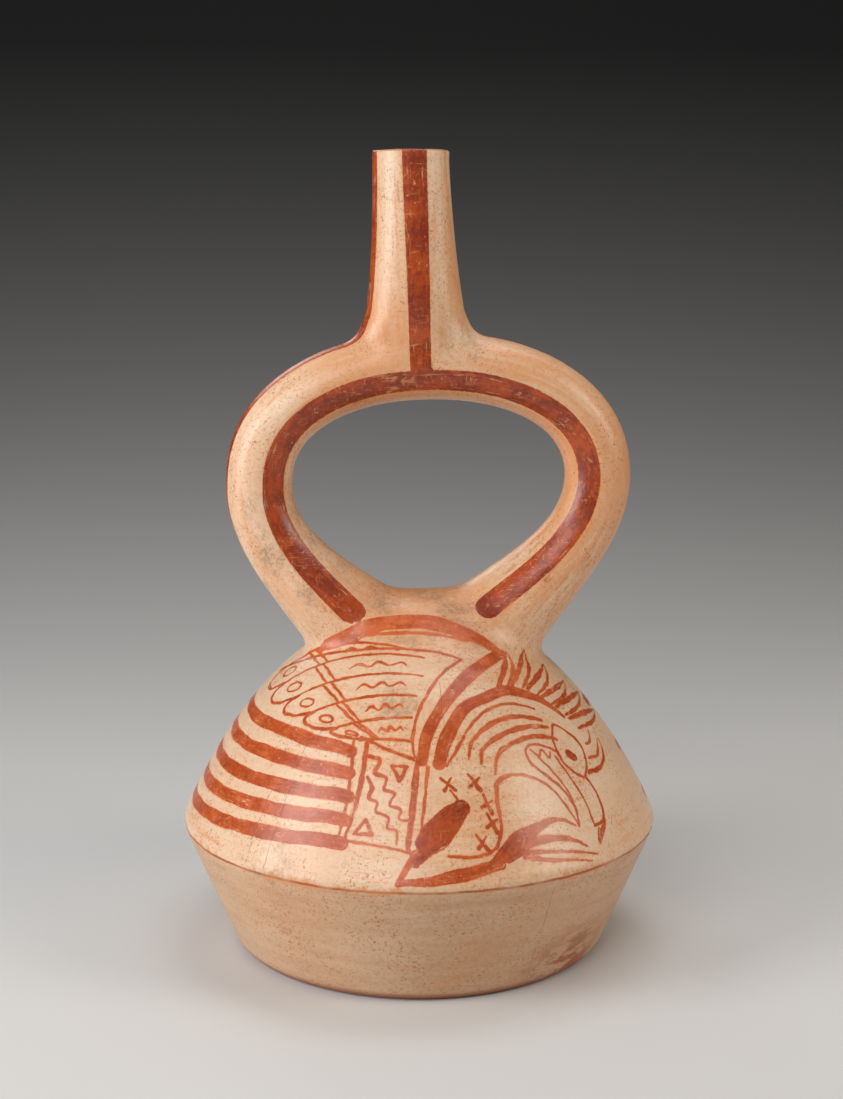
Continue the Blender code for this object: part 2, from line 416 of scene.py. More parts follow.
@dataclass(frozen=True)
class Form:
    """The vessel's outer form as one smooth distance field, with the fillets of the luted joints."""

    body: Body
    stirrup: Stirrup
    saddle: Saddle
    spout: Spout
    foot_fillet: float = 0.006
    saddle_fillet: float = 0.01
    spout_fillet: float = 0.0036
    unevenness: float = 0.00012
    probe: float = 0.00002
    largest_step: float = 0.002
    least_slope2: float = 0.2
    even_foot: float = 0.003
    even_fade: float = 0.012

    def distance(self, p: Array) -> Array:
        """Signed distance from points to the outer skin."""
        mound = soft_min(self.body.distance(p), self.saddle.distance(p), self.saddle_fillet)
        joined = soft_min(mound, self.stirrup.distance(p), self.foot_fillet)
        joined = soft_min(joined, self.spout.distance(p), self.spout_fillet)
        return joined + self.hand(p)

    def hand(self, p: Array) -> Array:
        """Slow hollows that hand building leaves, none of them on the foot that it stands on."""
        x, y, z = p.T
        waves = np.sin(61 * x + 23 * z + 0.6) + np.sin(71 * y - 37 * z + 2.1)
        waves += np.sin(149 * z + 45 * x - 31 * y + 4.0) + np.sin(118 * x - 88 * y + 1.1)
        lift = np.clip((z - self.even_foot) / self.even_fade, 0.0, 1.0)
        return self.unevenness * lift * (1.0 + 0.4 * waves)

    def slope(self, p: Array) -> Array:
        """Gradient of the distance, by central differences."""
        parts = []
        for axis in range(3):
            shift = np.zeros(3)
            shift[axis] = self.probe
            parts.append((self.distance(p + shift) - self.distance(p - shift)) / (2 * self.probe))
        return np.stack(parts, axis=1)

    def settle(self, p: Array, rounds: int) -> Array:
        """Moves points along the gradient until they lie on the skin.

        Args:
            p: the points, one to a row.
            rounds: how many Newton steps to take.

        Returns:
            The moved points.
        """
        p = p.copy()
        for _ in range(rounds):
            slope = self.slope(p)
            step = self.distance(p) / np.maximum((slope**2).sum(axis=1), self.least_slope2)
            p -= slope * np.clip(step, -self.largest_step, self.largest_step)[:, None]
            p[:, 2] = np.maximum(p[:, 2], 0.0)
        return p


class Waves(Enum):
    """Soft noises of the material, each as its waves to the metre, its detail and its roughness."""

    CLOUD = (24.0, 3.0, 0.55)
    ZONE = (60.0, 3.0, 0.6)
    MOTTLE = (640.0, 4.0, 0.68)
    STREAK = (560.0, 4.0, 0.62)
    WOBBLE = (110.0, 4.0, 0.6)
    WANDER = (110.0, 4.0, 0.65)
    BREAKS = (160.0, 2.0, 0.5)
    SHEETS = (170.0, 2.0, 0.5)
    FLECKS = (1150.0, 2.0, 0.6)
    DIRT = (260.0, 3.0, 0.6)
    STAIN = (95.0, 5.0, 0.7)
    SAND = (700.0, 3.0, 0.7)
    SCUFFS = (760.0, 3.0, 0.7)
    PATCHES = (90.0, 3.0, 0.5)
    HALO = (420.0, 3.0, 0.5)
    RUST = (300.0, 4.0, 0.7)
    RAGGED = (850.0, 2.0, 0.5)
    FRAYED = (3200.0, 2.0, 0.5)
    HAIRS = (1000.0, 5.0, 0.7)
    POOLS = (120.0, 3.0, 0.6)
    BLOTS = (640.0, 4.0, 0.7)
    FLAKES = (520.0, 5.0, 0.78)
    RUBS = (800.0, 3.0, 0.7)
    SCRATCHES = (1500.0, 2.0, 0.5)
    HANDLING = (75.0, 2.0, 0.5)
    SPECKS = (1050.0, 3.0, 0.72)
    SHEEN = (300.0, 3.0, 0.5)
    TOOTH = (2300.0, 2.0, 0.5)


class NodeDesk:
    """Places nodes in a tree and joins them, so that a tree reads as a list of steps."""

    def __init__(self, tree: Tree) -> None:
        """Takes the tree to work on."""
        self.tree = tree

    def put(self, kind: str, inputs: dict | None = None, **settings: object) -> bpy.types.Node:
        """Adds one node.

        Args:
            kind: the node's type name.
            inputs: values or output sockets, by the input's name or number.
            settings: the node's own properties.

        Returns:
            The new node.
        """
        node = self.tree.nodes.new(kind)
        for name, value in settings.items():
            setattr(node, name, value)
        for name, value in (inputs or {}).items():
            if isinstance(value, Socket):
                self.tree.links.new(value, node.inputs[name])
            else:
                node.inputs[name].default_value = value
        return node

    def math(self, operation: str, a: object, b: object = 0.0, clamp: bool = False) -> Socket:
        """Works out one step of arithmetic."""
        return self.put("ShaderNodeMath", {0: a, 1: b}, operation=operation, use_clamp=clamp).outputs[0]

    def times(self, a: object, *others: object) -> Socket:
        """Multiplies two or more values."""
        for b in others:
            a = self.math("MULTIPLY", a, b)
        return a

    def plus(self, a: object, b: object, clamp: bool = False) -> Socket:
        """Adds two values."""
        return self.math("ADD", a, b, clamp)

    def minus(self, a: object, b: object) -> Socket:
        """Takes one value from another."""
        return self.math("SUBTRACT", a, b)

    def most(self, a: object, *others: object) -> Socket:
        """Keeps the largest of some values."""
        for b in others:
            a = self.math("MAXIMUM", a, b)
        return a

    def ramp(self, value: object, low: float, high: float) -> Socket:
        """Rises smoothly from 0 where the value is low to 1 where it is high."""
        inputs = {"Value": value, "From Min": low, "From Max": high}
        node = self.put("ShaderNodeMapRange", inputs, interpolation_type="SMOOTHSTEP")
        return node.outputs["Result"]

    def spread(self, value: object, low: float, high: float) -> Socket:
        """Stretches 0 to 1 over the given span, in a straight line."""
        inputs = {"Value": value, "To Min": low, "To Max": high}
        return self.put("ShaderNodeMapRange", inputs).outputs["Result"]

    def mix(self, share: object, a: object, b: object) -> Socket:
        """Mixes two colours."""
        node = self.put("ShaderNodeMix", data_type="RGBA")
        for socket, value in ((node.inputs[0], share), (node.inputs[6], a), (node.inputs[7], b)):
            if isinstance(value, Socket):
                self.tree.links.new(value, socket)
            else:
                socket.default_value = value
        return node.outputs[2]

    def tint(self, tone: object, share: object, colour: object, strength: float = 1.0) -> Socket:
        """Lays a colour over a tone, as strongly as the share and the strength say."""
        return self.mix(share if strength == 1.0 else self.times(share, strength), tone, colour)

    def noise(self, place: object, waves: Waves) -> Socket:
        """Soft noise at a place, from 0 to 1."""
        per_metre, detail, rough = waves.value
        inputs = {"Vector": place, "Scale": per_metre, "Detail": detail, "Roughness": rough}
        return self.put("ShaderNodeTexNoise", inputs).outputs["Fac"]

    def jitter(self, place: object, waves: Waves, size: object) -> Socket:
        """Soft noise about zero, as a length of up to half the size."""
        return self.times(self.minus(self.noise(place, waves), 0.5), size)

    def value_of(self, name: Attr) -> Socket:
        """Reads a number that the mesh carries, in a material."""
        return self.put("ShaderNodeAttribute", attribute_name=name.value).outputs["Fac"]

    def carried(self, name: Attr) -> Socket:
        """Reads a number that the mesh carries, in Geometry Nodes."""
        node = self.put("GeometryNodeInputNamedAttribute", {"Name": name.value}, data_type="FLOAT")
        return node.outputs["Attribute"]

    def finish(self, geometry: object, clay: object, name: str) -> None:
        """Ends a Geometry Nodes tree: real faces, their material, and the named output."""
        real = self.put("GeometryNodeRealizeInstances", {"Geometry": geometry})
        dressed = self.put("GeometryNodeSetMaterial", {"Geometry": real.outputs[0], "Material": clay})
        self.put("NodeGroupOutput", {name: dressed.outputs[0]})

    def stretched(self, place: object, scale: Triple) -> Socket:
        """Scales a place by axis, to draw a pattern out."""
        return self.put("ShaderNodeMapping", {"Vector": place, "Scale": scale}).outputs["Vector"]


def new_tree(name: str, kind: str, inputs: dict[str, str], outputs: dict[str, str]) -> Tree:
    """Makes a node tree with its named inputs and outputs.

    Args:
        name: the tree's name.
        kind: the tree's type name.
        inputs: each input's kind of socket, by the input's name.
        outputs: each output's kind of socket, by the output's name.

    Returns:
        The tree, with no nodes in it.
    """
    tree = bpy.data.node_groups.new(name, kind)
    for way, sockets in (("INPUT", inputs), ("OUTPUT", outputs)):
        for socket, form in sockets.items():
            tree.interface.new_socket(socket, in_out=way, socket_type="NodeSocket" + form)
    return tree


def run_nodes(obj: Object, tree: Tree, inputs: dict[str, object]) -> Mesh:
    """Runs a Geometry Nodes tree on an object and takes the result as a plain mesh.

    Args:
        obj: the object that the tree works on.
        tree: the tree.
        inputs: the tree's inputs, by their names.

    Returns:
        The finished mesh.
    """
    modifier = obj.modifiers.new(tree.name, "NODES")
    modifier.node_group = tree
    for item in tree.interface.items_tree:
        if item.item_type == "SOCKET" and item.in_out == "INPUT" and item.name in inputs:
            modifier[item.identifier] = inputs[item.name]
    graph = bpy.context.evaluated_depsgraph_get()
    mesh = bpy.data.meshes.new_from_object(obj.evaluated_get(graph), depsgraph=graph)
    obj.modifiers.remove(modifier)
    return mesh


def object_of(mesh: Mesh, name: str) -> Object:
    """Links a mesh into the scene as an object at the origin."""
    obj = bpy.data.objects.new(name, mesh)
    bpy.context.scene.collection.objects.link(obj)
    return obj


def drop(obj: Object) -> None:
    """Removes a helper object and its mesh."""
    mesh = obj.data
    bpy.data.objects.remove(obj, do_unlink=True)
    bpy.data.meshes.remove(mesh)


def points_of(mesh: Mesh) -> Array:
    """The mesh's points, one to a row."""
    flat = np.empty(3 * len(mesh.vertices))
    mesh.vertices.foreach_get("co", flat)
    return flat.reshape(-1, 3)


def floats_of(mesh: Mesh, name: Attr) -> Array:
    """A number that the mesh's points carry."""
    values = np.empty(len(mesh.vertices), np.float32)
    mesh.attributes[name.value].data.foreach_get("value", values)
    return values


def vectors_of(mesh: Mesh, name: Attr) -> Array:
    """A vector that the mesh's points carry."""
    flat = np.empty(3 * len(mesh.vertices), np.float32)
    mesh.attributes[name.value].data.foreach_get("vector", flat)
    return flat.reshape(-1, 3).astype(float)


def store(mesh: Mesh, name: Attr, values: Array) -> None:
    """Gives the mesh's points a number or a vector."""
    kind, key = ("FLOAT_VECTOR", "vector") if values.ndim == 2 else ("FLOAT", "value")
    layer = mesh.attributes.get(name.value) or mesh.attributes.new(name.value, kind, "POINT")
    layer.data.foreach_set(key, values.astype(np.float32).ravel())


@dataclass
class Coils:
    """Sweeps round coils of clay along their lines with Geometry Nodes, and fuses them into one skin."""

    clay: Material
    sides: int = 96
    least_girth: float = 1e-5
    tree: Tree = field(init=False)

    def __post_init__(self) -> None:
        """Builds the tree: lines become curves, each is swept with its own girth, then flattened in depth."""
        inputs = {"Lines": "Geometry", "Sides": "Int", "Clay": "Material"}
        self.tree = new_tree("swept_coils", "GeometryNodeTree", inputs, {"Coils": "Geometry"})
        desk = NodeDesk(self.tree)
        start = desk.put("NodeGroupInput").outputs
        curves = desk.put("GeometryNodeMeshToCurve", {"Mesh": start["Lines"]})
        ring = desk.put("GeometryNodeCurvePrimitiveCircle", {"Resolution": start["Sides"], "Radius": 1.0})
        sweep = {"Curve": curves.outputs["Curve"], "Profile Curve": ring.outputs["Curve"], "Fill Caps": True}
        swept = desk.put("GeometryNodeCurveToMesh", {**sweep, "Scale": desk.carried(Attr.GIRTH)})
        place = desk.put("GeometryNodeInputPosition").outputs[0]
        x, y, z = desk.put("ShaderNodeSeparateXYZ", {0: place}).outputs
        flat_y = desk.times(y, desk.carried(Attr.DEPTH))
        flat = desk.put("ShaderNodeCombineXYZ", {0: x, 1: flat_y, 2: z}).outputs[0]
        placed = {"Geometry": swept.outputs["Mesh"], "Position": flat}
        shaped = desk.put("GeometryNodeSetPosition", placed).outputs[0]
        merged = desk.put("GeometryNodeMergeByDistance", {"Geometry": shaped, "Distance": TINY})
        desk.finish(merged.outputs[0], start["Clay"], "Coils")

    def fuse(self, name: str, coils: Iterable[Coil], grain: float) -> "Faces":
        """Sweeps the coils and remeshes them into one closed skin.

        Args:
            name: a name for the skin.
            coils: each coil's points as (x, z, girth, depth).
            grain: the size of the skin's faces.

        Returns:
            The fused skin.
        """
        points, edges, girths, depths = [], [], [], []
        for coil in coils:
            first = len(points)
            points += [(x, 0.0, z) for x, z, _, _ in coil]
            girths += [max(girth, self.least_girth) for _, _, girth, _ in coil]
            depths += [depth for _, _, _, depth in coil]
            edges += [(i, i + 1) for i in range(first, len(points) - 1)]
        mesh = bpy.data.meshes.new(name + "_lines")
        mesh.from_pydata(points, edges, [])
        store(mesh, Attr.GIRTH, np.array(girths))
        store(mesh, Attr.DEPTH, np.array(depths))
        lines = object_of(mesh, name + "_lines")
        inputs = {"Sides": self.sides, "Clay": self.clay}
        swept = object_of(run_nodes(lines, self.tree, inputs), name + "_swept")
        drop(lines)
        remesh = swept.modifiers.new("fuse", "REMESH")
        remesh.mode = "VOXEL"
        remesh.voxel_size = grain
        graph = bpy.context.evaluated_depsgraph_get()
        fused = bpy.data.meshes.new_from_object(swept.evaluated_get(graph), depsgraph=graph)
        drop(swept)
        skin = Faces.of_mesh(fused)
        bpy.data.meshes.remove(fused)
        return skin


class Faces:
    """Points and faces gathered in numpy, to be cut, welded and refined before they become a mesh."""

    def __init__(self, points: Array, faces: Sequence[Sequence[int]]) -> None:
        """Takes points, one to a row, and faces as runs of point numbers."""
        self.points = points
        self.faces = [list(face) for face in faces]

    @classmethod
    def of_mesh(cls, mesh: Mesh) -> "Faces":
        """Reads a mesh."""
        return cls(points_of(mesh), [polygon.vertices for polygon in mesh.polygons])

    @classmethod
    def of_bmesh(cls, bm: bmesh.types.BMesh) -> "Faces":
        """Reads one of Blender's own working meshes, and frees it."""
        bm.verts.index_update()
        points = np.array([v.co[:] for v in bm.verts])
        faces = [[v.index for v in face.verts] for face in bm.faces]
        bm.free()
        return cls(points, faces)

    def below(self, height: float) -> "Faces":
        """The part that lies under a level cut, with fresh points along the cut."""
        bm = self.to_bmesh()
        whole = bm.verts[:] + bm.edges[:] + bm.faces[:]
        level = {"plane_co": (0, 0, height), "plane_no": (0, 0, 1)}
        bmesh.ops.bisect_plane(bm, geom=whole, clear_outer=True, **level)
        return Faces.of_bmesh(bm)

    def to_bmesh(self) -> bmesh.types.BMesh:
        """The same points and faces for Blender's own mesh tools."""
        bm = bmesh.new()
        verts = [bm.verts.new(p) for p in self.points]
        for face in self.faces:
            bm.faces.new([verts[i] for i in face])
        return bm

    def to_mesh(self, name: str) -> Mesh:
        """The same points and faces as a mesh with smooth shading."""
        mesh = bpy.data.meshes.new(name)
        mesh.from_pydata(self.points, [], self.faces)
        mesh.shade_smooth()
        return mesh

    def closed_triangles(self) -> "Faces":
        """The same shell in triangles that all face outwards."""
        bm = self.to_bmesh()
        bmesh.ops.remove_doubles(bm, verts=bm.verts[:], dist=TINY)
        bmesh.ops.recalc_face_normals(bm, faces=bm.faces[:])
        bmesh.ops.triangulate(bm, faces=bm.faces[:])
        loose = sum(1 for edge in bm.edges if len(edge.link_faces) != 2)
        LOG.info("shell: %d open edges, %.0f cm3 of clay", loose, bm.calc_volume(signed=True) * 1e6)
        return Faces.of_bmesh(bm)

    def edges(self) -> tuple[Array, Array]:
        """The edges as pairs of point numbers, and for each triangle the numbers of its three edges."""
        tris = np.array(self.faces)
        sides = np.sort(np.stack([tris, np.roll(tris, -1, axis=1)], axis=2), axis=2).reshape(-1, 2)
        edges, which = np.unique(sides, axis=0, return_inverse=True)
        return edges, which.reshape(-1, 3)

    def cut(self, edges: Array, which: Array, share: Array) -> "Faces":
        """Cuts some edges of a triangle mesh in two, and divides the triangles beside them to match.

        Args:
            edges: the edges, as given by edges().
            which: each triangle's edges, as given by edges().
            share: how far along each edge to cut it, or 0 to leave it whole.

        Returns:
            The finer mesh, whose new points follow the old ones.
        """
        tris = np.array(self.faces)
        marked = share > 0
        fresh = np.full(len(edges), -1)
        fresh[marked] = len(self.points) + np.arange(marked.sum())
        ends, part = self.points[edges[marked]], share[marked][:, None]
        points = np.vstack([self.points, ends[:, 0] * (1 - part) + ends[:, 1] * part])
        middle = fresh[which]
        count = (middle >= 0).sum(axis=1)
        parts = [tris[count == 0]]
        for turn in range(3):
            (a, b, c), (ab, bc, ca) = np.roll(tris, -turn, axis=1).T, np.roll(middle, -turn, axis=1).T
            one = (count == 1) & (ab >= 0)
            parts += [np.stack([a, ab, c], axis=1)[one], np.stack([ab, b, c], axis=1)[one]]
            two = (count == 2) & (ca < 0)
            across_c = lengths(points[ab] - points[c])
            to_c = across_c < lengths(points[bc] - points[a])
            parts.append(np.stack([ab, b, bc], axis=1)[two])
            by_c, by_a = (two & to_c, ((a, ab, c), (ab, bc, c))), (two & ~to_c, ((a, ab, bc), (a, bc, c)))
            for picked, faces in (by_c, by_a):
                parts += [np.stack(face, axis=1)[picked] for face in faces]
        (a, b, c), (ab, bc, ca) = tris.T, middle.T
        for corner in ((a, ab, ca), (ab, b, bc), (ca, bc, c), (ab, bc, ca)):
            parts.append(np.stack(corner, axis=1)[count == 3])
        return Faces(points, np.vstack(parts).tolist())

    def halved(self, wanted: Callable[[Array, Array], Array]) -> "Faces":
        """Halves the edges that are wanted, and the longest edge of every triangle that this touches.

        Args:
            wanted: says for each edge, given its end numbers and its length, whether to halve it.

        Returns:
            The finer mesh.
        """
        edges, which = self.edges()
        length = np.linalg.norm(self.points[edges[:, 0]] - self.points[edges[:, 1]], axis=1)
        halve = wanted(edges, length)
        longest = which[np.arange(len(which)), length[which].argmax(axis=1)]
        for _ in range(4):
            halve[longest[halve[which].any(axis=1)]] = True
        return self.cut(edges, which, halve * 0.5)

    def open_edge(self) -> list[int]:
        """Numbers of the points on the open edge."""
        count: dict[tuple[int, int], int] = {}
        for face in self.faces:
            for a, b in zip(face, face[1:] + face[:1]):
                key = (min(a, b), max(a, b))
                count[key] = count.get(key, 0) + 1
        return sorted({i for edge, uses in count.items() if uses == 1 for i in edge})


@dataclass(frozen=True)
class Lip:
    """The turned lip round the mouth and the top of the channel under it."""

    rim: float
    centre: Callable[[float], float]
    outer_radius: float = 0.0133
    inner_radius: float = 0.0099
    outer_round: float = 0.0008
    inner_round: float = 0.0021
    outer_start: float = 0.003
    inner_end: float = 0.026
    sides: int = 112
    round_steps: int = 5
    channel_rings: int = 9
    dip: float = 0.00012
    dip_reach: float = 0.006

    def profile(self) -> list[Point]:
        """The lip's section as (radius, drop under the rim), from the outside over the top to the inside."""
        points = []
        for i in range(self.round_steps + 1):
            angle = 0.5 * pi * i / self.round_steps
            drop = self.outer_round * (1.0 - sin(angle))
            points.append((self.outer_radius - self.outer_round * (1.0 - cos(angle)), drop))
        for i in range(self.round_steps + 1):
            angle = 0.5 * pi * i / self.round_steps
            drop = self.inner_round * (1.0 - cos(angle))
            points.append((self.inner_radius + self.inner_round * (1.0 - sin(angle)), drop))
        for i in range(1, self.channel_rings + 1):
            share = i / self.channel_rings
            points.append((self.inner_radius, self.inner_round + (self.inner_end - self.inner_round) * share))
        return points

    def rings(self) -> Array:
        """The lip's points by ring and by side, with the slight dips that a hand-finished rim has."""
        turn = 2 * pi * np.arange(self.sides) / self.sides
        rows = []
        for radius, drop in self.profile():
            fade = max(0.0, 1.0 - drop / self.dip_reach)
            sag = self.dip * fade * (1.0 + np.sin(2 * turn + 0.7) * 0.6 + np.sin(5 * turn + 2.0) * 0.4)
            wide = radius + self.dip * 0.5 * fade * (np.sin(3 * turn + 1.0) - 1.0)
            z = self.rim - drop - sag
            x = self.centre(self.rim - drop) + wide * np.cos(turn)
            rows.append(np.stack([x, wide * np.sin(turn), z], axis=1))
        return np.array(rows)


def zip_loops(points: Array, first: Sequence[int], second: Sequence[int]) -> list[list[int]]:
    """Closes the gap between two level loops with triangles, by the angle of their points round their middle.

    Args:
        points: all the points.
        first: numbers of the first loop's points, in any order.
        second: numbers of the second loop's points, in any order.

    Returns:
        The triangles.
    """
    loops = []
    for loop in (first, second):
        ring = points[list(loop)]
        middle = ring.mean(axis=0)
        angle = np.arctan2(ring[:, 1] - middle[1], ring[:, 0] - middle[0])
        order = np.argsort(angle)
        loops.append(([loop[i] for i in order], angle[order]))
    (a, turn_a), (b, turn_b) = loops
    faces, i, j = [], 0, 0
    while i < len(a) or j < len(b):
        next_a = turn_a[i + 1] if i + 1 < len(a) else turn_a[0] + 2 * pi
        next_b = turn_b[j + 1] if j + 1 < len(b) else turn_b[0] + 2 * pi
        if j >= len(b) or (i < len(a) and next_a <= next_b):
            faces.append([a[i], a[(i + 1) % len(a)], b[j % len(b)]])
            i += 1
        else:
            faces.append([b[(j + 1) % len(b)], b[j], a[i % len(a)]])
            j += 1
    return faces


@dataclass(frozen=True)
class Stroke:
    """One stroke of slip: points in space, half the width at each, and how thickly the slip lies."""

    route: Array
    half_width: Array
    load: float
    brush: Brush


@dataclass(frozen=True)
class DomeChart:
    """The dome laid flat round its crown, in millimetres, so that a drawing runs over it without a seam."""

    body: Body
    middle: float

    @property
    def whole(self) -> float:
        """Slant length from the keel to the crown."""
        return float(self.body.chart()[0][-1]) / MM

    def flat(self, degrees: float, slant: float) -> Array:
        """The chart's point for an angle from the picture's middle and a slant height above the keel."""
        angle = radians(degrees)
        reach = self.whole - slant
        return np.array([reach * sin(angle), -reach * cos(angle)])

    def lift(self, flat: Array) -> Array:
        """Points on the dome for points of the chart."""
        degrees = np.degrees(np.arctan2(flat[:, 0], -flat[:, 1])) + self.middle
        return self.body.place(degrees, self.whole - np.hypot(flat[:, 0], flat[:, 1]))


@dataclass
class Picture:
    """A picture of a generic crested wading bird: a scalloped wing, a barred tail and a long curved neck.

    Every point is an angle from the picture's middle, a slant height in millimetres above the keel and,
    in a stroke, the stroke's width in millimetres.
    """

    chart: DomeChart
    plain: bool
    pen: float = 1.15
    steps: int = 8
    unsteady: float = 0.1
    turn_on: float = 1.7
    broad_tremor: Point = (0.3, 0.045)
    fine_tremor: Point = (1.0, 0.12)
    thinnest: float = 0.25
    wash: float = 0.72
    strokes: list[Stroke] = field(default_factory=list)

    def stroke(
        self, knots: Sequence[Triple], load: float = 0.75, brush: Brush = Brush.FINE
    ) -> None:
        """Lays one stroke through (angle, slant, width) knots."""
        flat = [(*self.chart.flat(angle, slant), width) for angle, slant, width in knots]
        self.flat_stroke(flat, load, brush)

    def flat_stroke(
        self, knots: Sequence[Sequence[float]], load: float = 0.75, brush: Brush = Brush.FINE
    ) -> None:
        """Lays one stroke through (x, y, width) knots of the chart."""
        route = smooth_route(knots, self.steps)
        turn = self.turn_on * len(self.strokes)
        run = runs_along(route[:, :2])
        pace, press = self.broad_tremor if brush is Brush.BROAD else self.fine_tremor
        waves = np.sin(pace * run + turn), np.sin(1.2 * pace * run + 2.3 * turn)
        sway = self.unsteady * np.stack(waves, axis=1)
        weight = 1.0 + press * (np.sin(0.6 * pace * run + turn) + 0.6 * np.sin(1.6 * pace * run + 3.1 * turn))
        half = np.maximum(route[:, 2] * weight, self.thinnest) * 0.5 * MM
        self.strokes.append(Stroke(self.chart.lift(route[:, :2] + sway), half, load * self.wash, brush))

    def corners(self, points: Sequence[Point]) -> list[Array]:
        """Chart points for (angle, slant) points."""
        return [self.chart.flat(angle, slant) for angle, slant in points]

    def row(self, points: Sequence[Point], count: int) -> Array:
        """Evenly spaced chart points along a smooth line through (angle, slant) points."""
        route = smooth_route(self.corners(points), 12)
        runs = runs_along(route)
        return points_at(np.linspace(0.0, runs[-1], count), runs, route)

    def ring(self, centre: Array, along: Array, across: Array, width: float) -> None:
        """Draws a closed loop round a chart point, from its two half axes."""
        turns = np.linspace(0.0, 2 * pi, 9)
        knots = [(*(centre + along * cos(t) + across * sin(t)), width) for t in turns]
        self.flat_stroke(knots, 0.7)

    def back_bands(self) -> None:
        """The broad bands of the back, the shoulder and the neck."""
        arc = [(-64, 81, 2.6), (-63, 88, 4.6), (-54, 94, 5.6), (-36, 98.5, 6.2), (-12, 101, 6.8)]
        arc += [(12, 100, 6.8), (31, 95.5, 6), (43, 89.5, 5.2), (52, 81, 3.6)]
        self.stroke(arc, 0.5, Brush.BROAD)
        self.stroke([(-40, 92.4, 1.2), (-16, 95.4, 1.6), (14, 94.2, 1.4), (34, 89.5, 1)], 0.35)
        collar = [(52, 81, 4.5), (33, 78, 5), (18, 71, 4.8), (10, 64, 4.6), (5, 57, 4.4), (2, 50, 4.2)]
        self.stroke([*collar, (1, 43, 3.4)], 0.7, Brush.BROAD)
        neck = [(6, 42, 4.6), (8, 49, 4.8), (12, 56, 4.6), (18, 62, 4.4), (28, 65, 4.4), (39, 66, 4.2)]
        self.stroke([*neck, (48, 62, 3.6), (54, 57, 2.8), (58, 51, 1.6)], 0.72, Brush.BROAD)

    def crest(self) -> None:
        """The crest: flames along the nape, each a heavy line and a light one that meet in a point."""
        count = 4 if self.plain else 6
        bases = self.row([(34, 68), (44, 67.4), (51, 63), (56.4, 57), (60, 50.5), (62, 44)], count + 1)
        tips = self.row([(57, 81.5), (73, 78), (77, 68.5), (80.5, 59), (87, 51.5), (88, 44)], count)
        shares = (0.0, 0.25, 0.5, 0.75, 1)
        for low, high, tip in zip(bases, bases[1:], tips):
            gap, middle = high - low, 0.5 * (low + high)
            for side, bulge, weight in ((-0.36, 0.18, 1), (0.36, 0.44, 0.72)):
                foot, bow = middle + side * gap, gap * bulge
                spots = [foot + (tip - foot) * share + bow * sin(pi * share) for share in shares]
                widths = (1.5, 2.2, 2.2, 1.5, 0.5)
                self.flat_stroke([(*spot, width * weight) for spot, width in zip(spots, widths)], 0.72)

    def wing(self) -> None:
        """The wing: overlapping feathers with rounded ends, each with an eye, two bars and a wavy line."""
        top = [(-86, 64, 1.2), (-70, 74, 1.5), (-48, 83, 1.2), (-12, 88, 1.2), (12, 86, 1.2), (24, 82, 1)]
        self.stroke(top, 0.7)
        self.stroke([(24, 82, 1.2), (11, 76, 1.3), (3, 67, 1.3), (-1, 58, 1.2), (-2, 49, 1.2), (-1, 44, 1)])
        count = 4 if self.plain else 5
        ends = self.row([(-84, 64), (-70, 60), (-55, 57), (-40, 54), (-29, 51), (-19, 49.5)], count + 1)
        roots = self.row([(-8, 88), (5, 83), (3, 75), (0, 67), (-2, 58), (-3, 50)], count + 1)
        for i in range(count):
            self.feather(ends[i], ends[i + 1], roots[i], roots[i + 1])
        self.flat_stroke([(*ends[-1], 1.3), (*(0.5 * (ends[-1] + roots[-1])), 1.2), (*roots[-1], 1.2)])

    def feather(
        self, top_end: Array, low_end: Array, top_root: Array, low_root: Array
    ) -> None:
        """One feather between its two long edges, from its rounded end to its root."""

        def spot(along: float, across: float) -> Array:
            """A chart point by the share of the way to the root and from the top edge to the low one."""
            end = top_end + (low_end - top_end) * across
            root = top_root + (low_root - top_root) * across
            return end + (root - end) * along

        def lay(points: Sequence[Triple], load: float) -> None:
            """Lays a stroke through (along, across, width) points."""
            self.flat_stroke([(*spot(along, across), width) for along, across, width in points], load)

        rounded = ((0.1, 0.02), (-0.02, 0.1), (-0.09, 0.42), (-0.06, 0.8), (0.05, 0.99))
        lay([(along, across, 1.35) for along, across in rounded], 0.78)
        if self.plain:
            lay([(0.06, 0.0, 1.2), (0.5, 0.0, 1.2), (0.98, 0.0, 1.2)], 0.7)
            return
        lay([(0.06, 0.0, 1), (0.5, 0.0, 1.3), (0.98, 0.0, 1)], 0.7)
        along = 0.055 * (spot(1.0, 0.5) - spot(0.0, 0.5))
        across = 0.19 * (spot(0.1, 1) - spot(0.1, 0))
        self.ring(spot(0.1, 0.52), along, across, 0.95)
        for start in (0.29, 0.35):
            lay([(start, 0.05, 1), (start + 0.012, 0.5, 1.2), (start + 0.03, 0.97, 0.8)], 0.72)
        wave = [(0.5, 0.62, 0.5), (0.57, 0.44, 1.3), (0.63, 0.64, 0.9), (0.7, 0.4, 1.5), (0.76, 0.6, 0.8)]
        lay([*wave, (0.84, 0.42, 1.1), (0.88, 0.55, 0.5)], 0.68)

